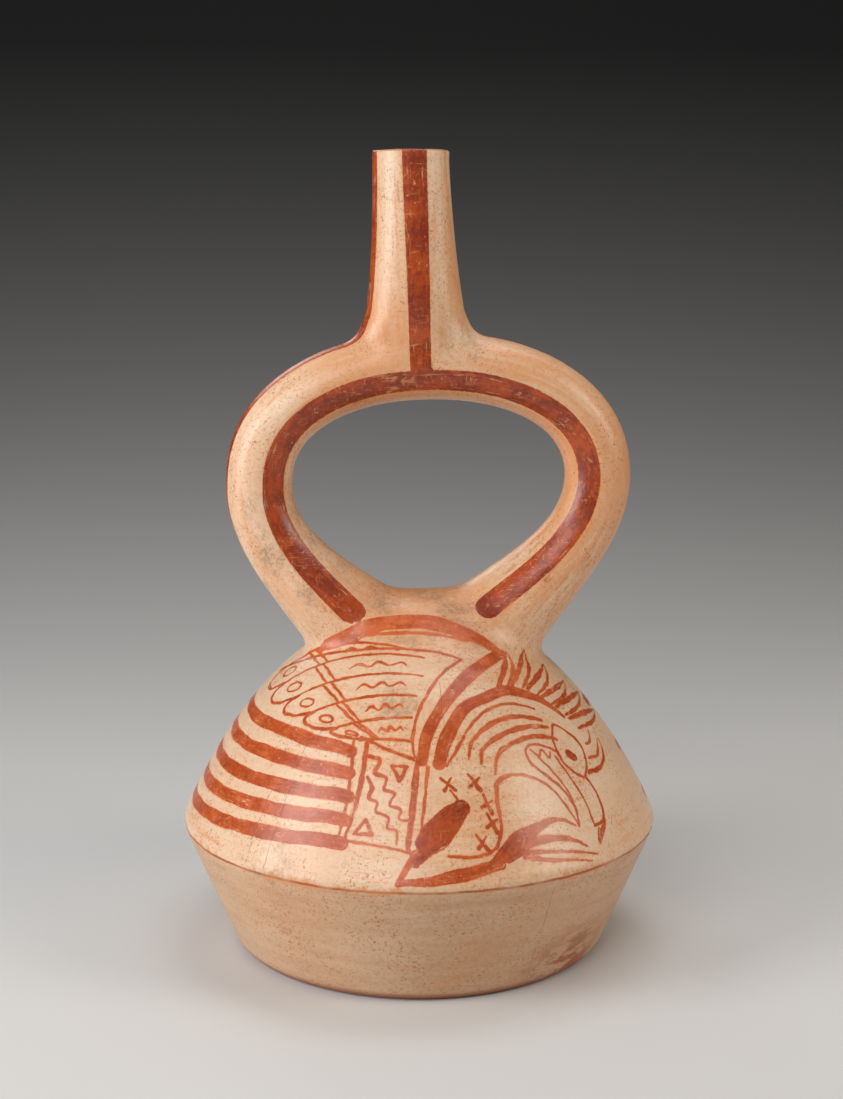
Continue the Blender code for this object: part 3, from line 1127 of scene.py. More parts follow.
    def tail(self) -> None:
        """The tail: five broad bars that run round the side of the body."""
        starts = [(-94, 48.5), (-94, 38.5), (-94, 28.5), (-94, 18.5), (-94, 9)]
        middles = [(-50, 48), (-50, 38.7), (-50, 29.2), (-50, 20.7), (-50, 12.4)]
        ends = [(-21, 45.2), (-20, 37.4), (-19, 29.6), (-19, 22), (-18.5, 14.3)]
        for k, (start, middle, end) in enumerate(zip(starts, middles, ends)):
            if self.plain and k % 2:
                continue
            knots = [(*start, 3.8)]
            for share, width in ((0.33, 4.4), (0.67, 4.6), (1.0, 4.8)):
                spot = [a + (b - a) * share for a, b in zip(start, middle)]
                knots.append((spot[0], spot[1] - 0.5 * sin(pi * share), width))
            near = (0.5 * (middle[0] + end[0]), 0.5 * (middle[1] + end[1]) + 0.3)
            self.stroke([*knots, (*near, 4.9), (*end, 4.6)], 0.8 - 0.06 * (k % 2), Brush.BROAD)

    def panel(self) -> None:
        """The panel behind the wing, with its stepped zigzags and its small triangles."""
        pen = self.pen
        self.stroke([(-21, 49, 1.2), (-19.5, 38, 1.3), (-19, 26, 1.3), (-19.5, 17, 1.1)])
        self.stroke([(-16.5, 48.5, 1.6), (-16, 38, 1.9), (-16.5, 27, 1.8), (-18, 15.5, 1.2)], 0.85)
        self.stroke([(-19, 50.5, pen), (-9, 46.5, 1.3), (1, 42.5, 1.5)], 0.8)
        self.stroke([(-18.5, 15.2, 1.5), (-10, 14.6, 1), (-1, 12.2, 1.2)], 0.7)
        self.stroke([(-0.5, 42, 2), (-1.2, 32, 2.4), (-2, 22, 2.2), (-2.6, 13, 1.6)], 0.8)
        self.stroke([(2.6, 41, 1.4), (1.6, 30, 1.2), (0.6, 20, 1.1), (0, 12, 1)], 0.6)
        if self.plain:
            return
        first = [(-15, 44, 1.4), (-11.5, 43, 1.6), (-12.5, 38.5, 1.6), (-9, 37, 1.3), (-9.5, 33, 1.3)]
        first += [(-6.5, 32, 1.2), (-7.5, 28, 1.1), (-4.5, 26.5, 1.1), (-5, 23.5, 1), (-2.5, 23, 1)]
        self.stroke(first, 0.8)
        second = [(-14.5, 37, 0.9), (-12.8, 33.5, 1.8), (-13.2, 30, 1.3), (-10.8, 28.5, 1.2)]
        second += [(-11, 25.5, 1.1), (-7.6, 24, 1), (-7.8, 20.5, 1), (-5.4, 19.5, 0.9), (-5.2, 15, 0.7)]
        self.stroke(second, 0.75)
        for (angle, slant), size in (((-5.6, 39), -1), ((-13.6, 20), 1)):
            left, right = (angle - 2.2, slant - 2.2 * size), (angle + 2.2, slant - 2.0 * size)
            tip = (angle + 0.3, slant + 2.8 * size)
            for start, end in ((left, tip), (tip, right), (right, left)):
                self.stroke([(*start, 1.4), (*end, 1.3)], 0.8)

    def nape_lines(self) -> None:
        """The fine lines under the neck band."""
        lines = (
            ([(8, 41, 1), (12, 47, 1.2), (18, 55, 1.2), (26, 60, 1.3), (36, 61, 1.2), (46, 57, 0.9)], 0.6),
            ([(15, 43, 0.9), (17, 49, 1.4), (25, 54.5, 2), (35, 56, 2), (46, 52.5, 1.5)], 0.6),
            ([(18.5, 41, 0.9), (20, 46, 1.5), (27, 50, 2), (37, 51.5, 2.1), (47, 49.5, 1.4)], 0.6),
            ([(22, 37, 0.9), (24.5, 43.5, 1.6), (31, 46.8, 1.9), (40, 47.5, 2), (48, 44.5, 1.4)], 0.55),
        )
        for knots, load in lines[: 1 if self.plain else None]:
            self.stroke(knots, load)

    def head(self) -> None:
        """The head: a round eye, a long straight upper beak and a curved lower one."""
        skull = [(46, 44, 1.2), (50, 49.5, 1), (54.6, 45.6, 1.2), (57.4, 40, 1.4), (56, 34, 1.1)]
        self.stroke([*skull, (52.2, 29.4, 1.2), (49, 31.4, 1), (46, 36.6, 1.1), (46, 44, 1.1)], 0.7)
        self.stroke([(50.0, 38.4, 3.2), (50.7, 37.6, 3.7), (51.4, 36.8, 3.2)], 0.95)
        self.stroke([(44, 39, 1), (46, 31, 0.8), (47.8, 22, 0.8), (47.8, 13, 1)], 0.62)
        upper = [(52.2, 29.4, 1.2), (53.6, 23, 1.1), (53.2, 17, 1.1), (51.4, 12.4, 1.9), (47.6, 7, 1.3)]
        self.stroke(upper, 0.7)
        self.stroke([(47.8, 12.8, 1.4), (51.6, 13.2, 1.2)], 0.7)
        self.stroke([(49, 11, 2.4), (47.8, 8, 1.6)], 0.75)
        low = [(46, 40, 1), (41, 43.8, 1.2), (36.5, 45, 1.2), (34, 43, 1.1), (34.5, 38.5, 1.3)]
        self.stroke([*low, (38, 33.5, 1.3), (42, 27, 1.2), (43.5, 20, 1.2), (42.5, 14.5, 1)], 0.68)
        self.stroke([(37.6, 40.6, 1), (41.2, 33, 0.9), (43.4, 25, 0.9), (43, 15, 0.9)], 0.6)
        if not self.plain:
            teeth = [(36, 43.5, 0.9), (38, 40.5, 1.1), (40, 42.5, 0.9), (41.5, 39, 1.1), (43, 41, 0.8)]
            self.stroke(teeth, 0.6)
        self.stroke([(60.5, 39, 1), (64, 39.2, 1.3), (67, 42.4, 0.7)], 0.6)
        self.stroke([(58, 34.4, 1.1), (63.5, 33.8, 1.4), (69, 38, 0.7)], 0.6)
        self.stroke([(54.5, 30, 1.9), (61, 29.6, 1.7), (67, 32.4, 1.3), (70.5, 38, 0.7)], 0.7)

    def breast(self) -> None:
        """The breast's outline, the filled thigh, and a row of small crosses between them."""
        line = [(7, 11.2, 1.2), (13, 10.6, 1.2), (18, 12.5, 1.3), (20.5, 19, 1.3), (20.8, 27, 1.5)]
        line += [(22, 34, 2), (27, 36, 1.4), (33, 34, 1.3), (38, 29, 1.1), (41, 21, 1), (42.5, 15, 0.8)]
        self.stroke(line, 0.65)
        thigh = [(-0.6, 9, 2.2), (1.4, 14.2, 7.6), (4.6, 18.8, 9.6), (8, 23.4, 9), (10.8, 26.6, 6)]
        self.stroke(thigh, 1.16, Brush.BROAD)
        if self.plain:
            return
        crosses = ((8, 35, 0.5), (15.5, 35, 0.7), (18, 27.5, 0.9), (18.4, 21, 0.8), (15.2, 15, 0.6))
        for angle, slant, turn in crosses:
            centre = self.chart.flat(angle, slant)
            arm = np.array([cos(turn), -sin(turn)])
            bar = np.array([arm[1], -arm[0]])
            for way, back, on, widths in ((arm, 3.6, 3.6, (1.0, 1.3, 1.7)), (bar, 2.6, 2.8, (0.8, 1.2, 1.5))):
                spots = (centre - back * way, centre, centre + on * way)
                self.flat_stroke([(*spot, width) for spot, width in zip(spots, widths)], 0.9)
        self.stroke([(8.5, 33, 0.8), (10, 30, 0.9), (11.6, 27, 1)], 0.8)

    def legs(self) -> None:
        """The bent leg and the spread foot."""
        self.stroke([(-0.5, 12, 3.4), (-2.4, 8.4, 2.4), (-4, 4, 2.2), (-4.6, 2.4, 1.6)], 0.7, Brush.BROAD)
        self.stroke([(-4.4, 2.6, 2), (3, 3.6, 3.6), (11, 5.4, 4.4), (19, 7.4, 3.8)], 0.75, Brush.BROAD)
        spread = [(17, 7.4, 3.4), (21, 10.6, 6.6), (25, 14.0, 7.2), (29, 16.8, 4.2), (33, 18, 2.2)]
        self.stroke(spread, 0.95, Brush.BROAD)
        talons = (
            [(27, 16, 3), (33, 18.6, 2.2), (38, 18, 1.5), (41.5, 15, 0.7)],
            [(26, 12.5, 3.4), (33, 13, 2.6), (39, 11, 1.8), (43, 7.4, 0.8)],
            [(25, 10, 2), (33, 8.6, 1.3), (40, 6.4, 1.1), (45.5, 3.8, 0.6)],
            [(25, 8.5, 2), (32, 6.0, 1.6), (38, 4.4, 1), (43, 2.4, 0.6)],
        )
        for knots in talons[:: 2 if self.plain else 1]:
            self.stroke(knots, 0.66)

    def paint(self) -> list[Stroke]:
        """Lays every stroke of the picture."""
        bird = (self.back_bands, self.crest, self.wing, self.tail, self.panel, self.nape_lines)
        for part in (*bird, self.head, self.breast, self.legs):
            part()
        return self.strokes


@dataclass(frozen=True)
class Bands:
    """The painted bands of the stirrup and of the spout, the same before and behind and on the outer rim."""

    stirrup: Stirrup
    spout: Spout
    width: float = 0.0081
    spout_width: float = 0.008
    lean_at: tuple[float, ...] = (0.08, 0.2, 0.28, 0.5, 0.62, 0.74, 0.85, 0.93)
    leans: tuple[float, ...] = (15.0, 23.0, 25.0, 20.5, 24.0, 26.0, 29.0, 33.0)
    foot_stops: Point = (0.0255, 0.021)
    clear_of_spout: float = 0.0265
    side_turn_at: tuple[float, ...] = (0.0, 0.14, 0.22, 0.3, 0.36)
    side_turns: tuple[tuple[float, ...], ...] = ((80, 82, 86, 93, 102), (100, 100, 100, 102, 104))
    rim_gap: float = 0.0004
    outer_width: float = 0.0066
    outer_stops: Point = (0.05, 0.05)
    band_start: float = 0.0005
    outer_start: float = 0.012
    coil_steps: int = 220
    spout_steps: int = 60
    load: float = 0.95
    outer_load: float = 0.85

    def coil_route(self, turn: Callable[[Array], Array], stops: Point) -> Array:
        """A line along the stirrup's skin.

        Args:
            turn: the angle round the coil from -Y towards the ring's outside, for each share of its length.
            stops: how far short of the left and of the right end of the centre line it stops.

        Returns:
            The points.
        """
        line = self.stirrup.line()
        runs = runs_along(line)
        wanted = np.linspace(stops[0], runs[-1] - stops[1], self.coil_steps)
        x, z = points_at(wanted, runs, line).T
        along = np.stack([np.gradient(x), np.gradient(z)], axis=1)
        along /= lengths(along)[:, None]
        girth, angle = self.stirrup.girth(z), turn(wanted / runs[-1])
        side = girth * np.sin(angle)
        return np.stack([x - along[:, 1] * side, -girth * np.cos(angle), z + along[:, 0] * side], axis=1)

    def front_turn(self, share: Array) -> Array:
        """The front band leans towards the ring's inside, least at the left foot, most at the right one."""
        return -np.radians(np.interp(share, self.lean_at, self.leans))

    def spout_route(self, turn: float, low: float) -> Array:
        """A line up the spout's skin at an angle round from the front, starting at a height over the arch."""
        rise = np.linspace(low, self.spout.height - self.rim_gap, self.spout_steps)
        across, depth = self.spout.radii(rise)
        x = self.spout.centre(rise) + across * sin(turn)
        return np.stack([x, -depth * cos(turn), self.spout.foot + rise], axis=1)

    def paint(self) -> list[Stroke]:
        """Lays the bands: one before, one behind, and one along the outer rim and up the spout's sides."""
        strokes = []
        for face in (1.0, -1.0):
            route = self.coil_route(self.front_turn, self.foot_stops) * (1.0, face, 1.0)
            swell = 1.0 + 0.12 * np.abs(np.linspace(-1.0, 1.0, len(route))) ** 3
            strokes.append(Stroke(route, 0.5 * self.width * swell, self.load, Brush.BROAD))
            route = self.spout_route(0.0, self.band_start) * (1.0, face, 1.0)
            widths = np.linspace(0.92, 1.08, len(route)) * 0.5 * self.spout_width
            strokes.append(Stroke(route, widths, self.load, Brush.FINE))
        for side, turns in zip((-1.0, 1.0), self.side_turns):

            def outer_turn(share: Array) -> Array:
                """How far the outer band has turned away from the front, by its distance from the top."""
                return np.radians(np.interp(np.abs(share - 0.5), self.side_turn_at, turns))

            rim = self.coil_route(outer_turn, self.outer_stops)
            arm = rim[(rim[:, 0] - self.spout.offset) * side > self.clear_of_spout]
            arm = arm if side < 0 else arm[::-1]
            route = np.vstack([arm, self.spout_route(side * radians(turns[0]), self.outer_start)])
            half = np.full(len(route), 0.5 * self.outer_width)
            strokes.append(Stroke(route, half, self.outer_load, Brush.BROAD))
        return strokes


@dataclass
class SlipPainter:
    """Measures, at every point of a skin, how deep it lies within the nearest stroke of slip."""

    form: Form
    clay: Material
    strokes: Sequence[Stroke]
    spacing: float = 0.0007
    run_shift: float = 0.37
    measures: tuple[Attr, ...] = (Attr.SLIP_EDGE, Attr.SLIP_LOAD, Attr.SLIP_RUN, Attr.SLIP_SPOT)
    sockets: dict[str, str] = field(init=False)
    tree: Tree = field(init=False)
    lines: dict[Brush, Object] = field(init=False)

    def __post_init__(self) -> None:
        """Builds the tree that measures both brushes and keeps the deeper stroke, and lays the lines."""
        self.sockets = {"Edge": "Float", "Load": "Float", "Run": "Float", "Spot": "Vector"}
        inputs = {"Skin": "Geometry", **{brush.value: "Object" for brush in Brush}, "Clay": "Material"}
        nearest = self.nearest_stroke()
        self.tree = new_tree("laid_slip", "GeometryNodeTree", inputs, {"Painted": "Geometry"})
        desk = NodeDesk(self.tree)
        start = desk.put("NodeGroupInput").outputs
        found = []
        for brush in Brush:
            lines = desk.put("GeometryNodeObjectInfo", {"Object": start[brush.value]})
            found.append(desk.put("GeometryNodeGroup", node_tree=nearest))
            self.tree.links.new(lines.outputs["Geometry"], found[-1].inputs["Strokes"])
        broad, fine = (node.outputs for node in found)
        depths = {0: fine["Edge"], 1: broad["Edge"]}
        finer = desk.put("FunctionNodeCompare", depths, data_type="FLOAT", operation="GREATER_THAN")
        skin = start["Skin"]
        for name, (socket, kind) in zip(self.measures, self.sockets.items()):
            pick = {"Switch": finer.outputs[0], "False": broad[socket], "True": fine[socket]}
            layer, number = ("FLOAT_VECTOR", "VECTOR") if kind == "Vector" else ("FLOAT", "FLOAT")
            chosen = desk.put("GeometryNodeSwitch", pick, input_type=number)
            keep = {"Geometry": skin, "Name": name.value, "Value": chosen.outputs[0]}
            kept = desk.put("GeometryNodeStoreNamedAttribute", keep, data_type=layer, domain="POINT")
            skin = kept.outputs[0]
        desk.finish(skin, start["Clay"], "Painted")
        self.lines = {brush: self.lines_of(brush) for brush in Brush}

    def nearest_stroke(self) -> Tree:
        """The part of the tree that finds the nearest stroke of one brush."""
        tree = new_tree("nearest_stroke", "GeometryNodeTree", {"Strokes": "Geometry"}, self.sockets)
        desk = NodeDesk(tree)
        lines = desk.put("NodeGroupInput").outputs["Strokes"]
        reach = desk.put("GeometryNodeProximity", {0: lines}, target_element="EDGES")
        closest = desk.put("GeometryNodeSampleNearest", {"Geometry": lines}, domain="EDGE")
        read = []
        for name in (Attr.HALF_WIDTH, Attr.LOAD, Attr.RUN):
            sample = {"Geometry": lines, "Value": desk.carried(name), "Index": closest.outputs["Index"]}
            node = desk.put("GeometryNodeSampleIndex", sample, data_type="FLOAT", domain="EDGE")
            read.append(node.outputs[0])
        edge = desk.minus(read[0], reach.outputs["Distance"])
        spot = reach.outputs["Position"]
        desk.put("NodeGroupOutput", {"Edge": edge, "Load": read[1], "Run": read[2], "Spot": spot})
        return tree

    def lines_of(self, brush: Brush) -> Object:
        """Lays one brush's strokes on the skin as lines of short edges."""
        points, halves, loads, runs, edges = [], [], [], [], []
        for stroke in self.strokes:
            if stroke.brush is not brush:
                continue
            along = runs_along(stroke.route)
            count = max(3, int(along[-1] / self.spacing) + 1)
            wanted = np.linspace(0.0, along[-1], count)
            first = sum(len(part) for part in points)
            points.append(points_at(wanted, along, stroke.route))
            halves.append(np.interp(wanted, along, stroke.half_width))
            loads.append(np.full(count, stroke.load))
            runs.append(wanted + self.run_shift * first * MM)
            edges += [(first + i, first + i + 1) for i in range(count - 1)]
        mesh = bpy.data.meshes.new(brush.value + "_strokes")
        mesh.from_pydata(self.form.settle(np.vstack(points), 4), edges, [])
        for name, values in ((Attr.HALF_WIDTH, halves), (Attr.LOAD, loads), (Attr.RUN, runs)):
            store(mesh, name, np.concatenate(values))
        return object_of(mesh, brush.value + "_strokes")

    def measure(self, mesh: Mesh) -> Mesh:
        """Measures the strokes over a mesh and takes its place with the painted one."""
        holder = object_of(mesh, "bare_skin")
        inputs = {brush.value: self.lines[brush] for brush in Brush}
        painted = run_nodes(holder, self.tree, {**inputs, "Clay": self.clay})
        drop(holder)
        return painted

    def close(self) -> None:
        """Removes the strokes' lines."""
        for line in self.lines.values():
            drop(line)


@dataclass(frozen=True)
class Grains:
    """Face sizes of the fused skins, and of the finer faces along the slip's edges."""

    skin: float = 0.0025
    core: float = 0.0045
    outline: Point = (0.00165, 0.00105)
    line: Point = (0.00098, 0.0004)
    ridge_reach: float = 0.0014


@dataclass(frozen=True)
class Hand:
    """Directions of the burnishing stone: along the coils, and round the body."""

    form: Form
    round_scale: float = 0.1
    run_scale: float = 0.07
    cone_slant: float = 1.1
    coil_shift: float = 3.0
    spout_shift: float = 7.0
    joint: float = 0.004
    body_lead: float = 0.0005
    keel_inside: float = 0.07

    def grain(self, p: Array) -> Array:
        """Places in which a plain noise comes out as streaks along the strokes of the stone."""
        body, stirrup, spout = self.form.body, self.form.stirrup, self.form.spout
        x, y, z = p.T
        slant, radius, _ = body.chart()
        up = np.interp(-np.hypot(x, y), -radius, slant)
        up = np.where(z < body.keel_height, (z - body.keel_height) * self.cone_slant, up)
        grain = np.stack([x * self.round_scale, y * self.round_scale, up], axis=1)
        spot, _, run = stirrup.nearest(p)
        tube = stirrup.distance(p) < body.distance(p) - self.body_lead
        middle = np.array([0.0, 0.5 * (stirrup.top + body.crown)])
        outward = np.hypot(*(p[:, [0, 2]] - middle).T) - np.hypot(*(spot - middle).T)
        coil = np.stack([run * self.run_scale + self.coil_shift, outward, y], axis=1)
        grain[tube] = coil[tube]
        rise = z - spout.foot
        side = (spout.distance(p) < stirrup.distance(p)) & (rise > 0)
        straight = np.stack([rise * self.run_scale + self.spout_shift, x - spout.centre(rise), y], axis=1)
        grain[side] = straight[side]
        return grain

    def calm(self, p: Array) -> Array:
        """How plainly the streaks show, from 0 along the joints, where they change direction, to 1."""
        form = self.form
        body, coil, spout = (part.distance(p) for part in (form.body, form.stirrup, form.spout))
        over = p[:, 2] - form.spout.foot > 0
        joints = np.minimum(np.abs(body - coil), np.where(over, np.abs(coil - spout), 1.0))
        inside = np.clip(self.keel_inside - np.hypot(p[:, 0], p[:, 1]), 0, None)
        keel = np.abs(p[:, 2] - form.body.keel_height) + inside
        return np.clip(np.minimum(joints, keel * 2) / self.joint, 0.0, 1.0)


class Spot(Enum):
    """Places on the vessel that are stained or rubbed, as a middle and a reach in metres."""

    SADDLE = ((0.000, -0.012, 0.128), 0.04)
    SPOUT_FOOT = ((0.014, -0.01, 0.215), 0.016)
    RIGHT_FOOT = ((0.04, -0.012, 0.136), 0.03)
    RIGHT_ARM = ((0.066, -0.012, 0.172), 0.046)
    LEFT_ARM = ((-0.05, -0.01, 0.142), 0.036)
    ARCH_TOP = ((-0.02, -0.012, 0.212), 0.034)
    KEEL_LEFT = ((-0.058, -0.062, 0.052), 0.016)
    WING = ((-0.012, -0.05, 0.1), 0.016)
    BASE_RIGHT = ((0.044, -0.052, 0.003), 0.026)


@dataclass(frozen=True)
class Hairline:
    """A fine crack that climbs the wall, by its angle round the axis and the heights it runs between."""

    degrees: float
    low: float
    high: float
    sway: float = 0.0032


@dataclass(frozen=True)
class ClayLook:
    """The material's colours, its sheen and relief, the heights where its layers change, and its cracks."""

    keel_height: float
    sheen: float = 0.44
    relief: float = 0.00014
    relief_strength: float = 0.4
    keel_line: float = 0.0452
    cone_fade: Point = (0.0005, -0.001)
    foot: Point = (0.0042, 0.0014)
    rim: Point = (0.2796, 0.2804)
    low_dome: Point = (0.122, 0.098)
    arms: Point = (0.112, 0.128)
    cream: Colour = (0.655, 0.436, 0.272, 1)
    orange: Colour = (0.62, 0.245, 0.085, 1)
    pale: Colour = (0.77, 0.56, 0.395, 1)
    tan: Colour = (0.4, 0.2, 0.092, 1)
    deep_red: Colour = (0.205, 0.03, 0.011, 1)
    red: Colour = (0.385, 0.062, 0.013, 1)
    thin_red: Colour = (0.535, 0.12, 0.036, 1)
    rust: Colour = (0.33, 0.09, 0.024, 1)
    grey: Colour = (0.29, 0.18, 0.1, 1)
    soot: Colour = (0.06, 0.034, 0.022, 1)
    cracks: tuple[Hairline, ...] = (
        Hairline(-43.0, 0.047, 0.084),
        Hairline(-49.0, 0.047, 0.07),
        Hairline(26.0, 0.012, 0.043),
        Hairline(3.0, 0.082, 0.104),
        Hairline(150.0, 0.01, 0.04),
    )


class BurnishedClay:
    """Cream slip over orange clay, burnished, painted in red slip, and worn by handling and burial."""

    def __init__(self, look: ClayLook) -> None:
        """Starts the material with what its layers share: places, the mesh's numbers and soft noises."""
        self.look = look
        self.clay = bpy.data.materials.new(SLOT)
        self.clay.use_nodes = True
        self.clay.node_tree.nodes.clear()
        self.desk = desk = NodeDesk(self.clay.node_tree)
        self.place = place = desk.put("ShaderNodeTexCoord").outputs["Object"]
        self.grain = desk.put("ShaderNodeAttribute", attribute_name=Attr.GRAIN.value).outputs["Vector"]
        self.across, _, self.height = desk.put("ShaderNodeSeparateXYZ", {0: place}).outputs
        carried = (Attr.CALM, Attr.SLIP_EDGE, Attr.SLIP_LOAD, Attr.SLIP_RUN)
        self.calm, self.edge, self.load, self.run = (desk.value_of(name) for name in carried)
        self.cloud = desk.noise(place, Waves.CLOUD)
        self.zone = desk.noise(place, Waves.ZONE)
        self.mottle = desk.noise(place, Waves.MOTTLE)
        self.streak = desk.noise(self.grain, Waves.STREAK)
        self.wobble = desk.jitter(place, Waves.WOBBLE, 0.0012)
        above, under = look.cone_fade
        self.low = desk.ramp(self.height, look.keel_height + above, look.keel_height + under)

    def near(self, spot: Spot) -> Socket:
        """How near a place is to the middle of a spot, from 0 at its edge to 1."""
        middle, reach = spot.value
        gap = self.desk.put("ShaderNodeVectorMath", {0: self.place, 1: middle}, operation="DISTANCE")
        return self.desk.ramp(gap.outputs["Value"], reach, reach * 0.25)

    def nearest(self, *spots: Spot) -> Socket:
        """How near a place is to the nearest of some spots."""
        return self.desk.most(*(self.near(spot) for spot in spots))

    def hairline_group(self) -> Tree:
        """A shared effect: the mask of one wandering hairline crack."""
        numbers = {name: "Float" for name in ("Along X", "Along Y", "Low", "High", "Sway")}
        tree = new_tree("hairline", "ShaderNodeTree", {"Place": "Vector", **numbers}, {"Crack": "Float"})
        desk = NodeDesk(tree)
        given = desk.put("NodeGroupInput").outputs
        place, along_x, along_y = given["Place"], given["Along X"], given["Along Y"]
        x, y, z = desk.put("ShaderNodeSeparateXYZ", {0: place}).outputs
        facing = desk.plus(desk.times(x, along_x), desk.times(y, along_y))
        side = desk.minus(desk.times(x, along_y), desk.times(y, along_x))
        off = desk.math("ABSOLUTE", desk.plus(side, desk.jitter(place, Waves.WANDER, given["Sway"])))
        line = desk.ramp(off, 0.00016, 0.00004)
        above = desk.math("GREATER_THAN", z, given["Low"])
        below = desk.math("LESS_THAN", z, given["High"])
        front = desk.math("GREATER_THAN", facing, 0.0)
        broken = desk.ramp(desk.noise(place, Waves.BREAKS), 0.36, 0.5)
        desk.put("NodeGroupOutput", {"Crack": desk.times(line, above, below, front, broken)})
        return tree

    def cracked(self) -> Socket:
        """The mask of all the hairline cracks."""
        group, masks = self.hairline_group(), []
        for crack in self.look.cracks:
            angle = radians(crack.degrees)
            node = self.desk.put("ShaderNodeGroup", node_tree=group)
            self.desk.tree.links.new(self.place, node.inputs["Place"])
            along = {"Along X": sin(angle), "Along Y": -cos(angle)}
            for name, value in {**along, "Low": crack.low, "High": crack.high, "Sway": crack.sway}.items():
                node.inputs[name].default_value = value
            masks.append(node.outputs[0])
        return self.desk.most(*masks)

    def cream_slip(self) -> Socket:
        """The ground: cloudy, mottled, streaked by the stone and flecked with grit, and paler on the left as
        painted sheen.
        """
        look, desk, zone = self.look, self.desk, self.zone
        tone = desk.tint(look.cream, desk.ramp(self.cloud, 0.44, 0.74), look.orange, 0.4)
        tone = desk.tint(tone, desk.ramp(self.cloud, 0.5, 0.26), look.pale, 0.55)
        tone = desk.tint(tone, desk.ramp(self.mottle, 0.5, 0.68), look.tan, 0.36)
        tone = desk.tint(tone, desk.ramp(self.mottle, 0.48, 0.34), look.pale, 0.36)
        # Painted sheen: the cream is paler towards the left, where the key light falls, standing in for its
        # sheen; it is also paler low on the dome's right.
        low_dome = desk.times(desk.ramp(self.height, *look.low_dome), desk.ramp(self.across, 0.02, 0.055))
        painted_sheen_and_pale_dome = desk.times(desk.most(desk.ramp(self.across, 0.01, -0.07), low_dome), 0.4)
        tone = desk.tint(tone, painted_sheen_and_pale_dome, look.pale)
        plainer = desk.times(self.calm, desk.spread(self.low, 1.0, 0.45))
        sheets = desk.times(desk.ramp(desk.noise(self.grain, Waves.SHEETS), 0.45, 0.64), plainer)
        sheets = desk.times(sheets, desk.spread(desk.ramp(self.height, *look.arms), 0.35, 1.0))
        tone = desk.tint(tone, desk.times(sheets, desk.spread(painted_sheen_and_pale_dome, 0.56, -0.1)), look.orange)
        warm = self.nearest(Spot.RIGHT_ARM, Spot.SADDLE, Spot.ARCH_TOP)
        tone = desk.tint(tone, warm, look.orange, 0.56)
        lanes = desk.times(desk.ramp(self.streak, 0.52, 0.7), plainer, desk.ramp(zone, 0.4, 0.62))
        tone = desk.tint(tone, lanes, look.orange, 0.7)
        light_lanes = desk.times(desk.ramp(self.streak, 0.46, 0.3), plainer)
        tone = desk.tint(tone, light_lanes, look.pale, 0.34)
        fleck = desk.ramp(desk.noise(self.place, Waves.FLECKS), 0.575, 0.66)
        often = desk.spread(desk.ramp(zone, 0.38, 0.62), 0.1, 0.76)
        often = desk.plus(often, desk.times(self.low, 0.22), clamp=True)
        return desk.tint(tone, desk.times(fleck, often), look.rust)

    def low_dirt(self) -> Socket:
        """The faint level streaks of dirt that dull the lower cone."""
        dirt = self.desk.ramp(self.desk.noise(self.grain, Waves.DIRT), 0.35, 0.75)
        return self.desk.times(self.low, self.desk.spread(dirt, 0.36, 0.56))

    def grime(self) -> Socket:
        """The stains where earth and hands have been."""
        desk = self.desk
        stain = desk.ramp(desk.noise(self.place, Waves.STAIN), 0.43, 0.66)
        stained = self.nearest(Spot.SADDLE, Spot.LEFT_ARM, Spot.WING, Spot.KEEL_LEFT)
        stained = desk.most(stained, desk.times(self.near(Spot.SPOUT_FOOT), 0.6))
        sand = desk.ramp(desk.noise(self.place, Waves.SAND), 0.4, 0.58)
        return desk.times(stain, stained, desk.spread(sand, 0.24, 0.84))

    def scuffs(self) -> Socket:
        """The streaks that rubbing left."""
        desk = self.desk
        rub = desk.ramp(desk.noise(self.grain, Waves.SCUFFS), 0.55, 0.65)
        rub_zone = desk.most(self.near(Spot.RIGHT_FOOT), desk.ramp(self.zone, 0.6, 0.72))
        return desk.times(rub, rub_zone, self.calm)

    def worn_edges(self, tone: Socket) -> Socket:
        """The keel, the foot's edge and the rim, worn to the clay, and the rust stain low on the right."""
        look, desk, height = self.look, self.desk, self.height
        off_keel = desk.math("ABSOLUTE", desk.plus(desk.minus(height, look.keel_line), self.wobble))
        patchy = desk.spread(desk.ramp(desk.noise(self.place, Waves.PATCHES), 0.36, 0.58), 0.5, 1.0)
        blotch = desk.plus(off_keel, desk.spread(desk.noise(self.place, Waves.HALO), 0.003, -0.003))
        halo = desk.times(desk.ramp(blotch, 0.0017, 0.0003), desk.ramp(self.zone, 0.46, 0.58))
        tone = desk.tint(tone, halo, look.orange, 0.78)
        tone = desk.tint(tone, desk.times(desk.ramp(off_keel, 0.00062, 0.00022), patchy), look.rust)
        tone = desk.tint(tone, desk.ramp(desk.plus(height, self.wobble), *look.foot), look.rust, 0.95)
        tone = desk.tint(tone, desk.ramp(desk.minus(height, self.wobble), *look.rim), look.rust, 0.7)
        level = desk.noise(desk.stretched(self.place, (0.3, 0.3, 1.0)), Waves.RUST)
        patch = desk.times(self.near(Spot.BASE_RIGHT), desk.ramp(self.cloud, 0.25, 0.5))
        return desk.tint(tone, desk.times(patch, desk.ramp(level, 0.44, 0.56)), look.rust, 0.9)

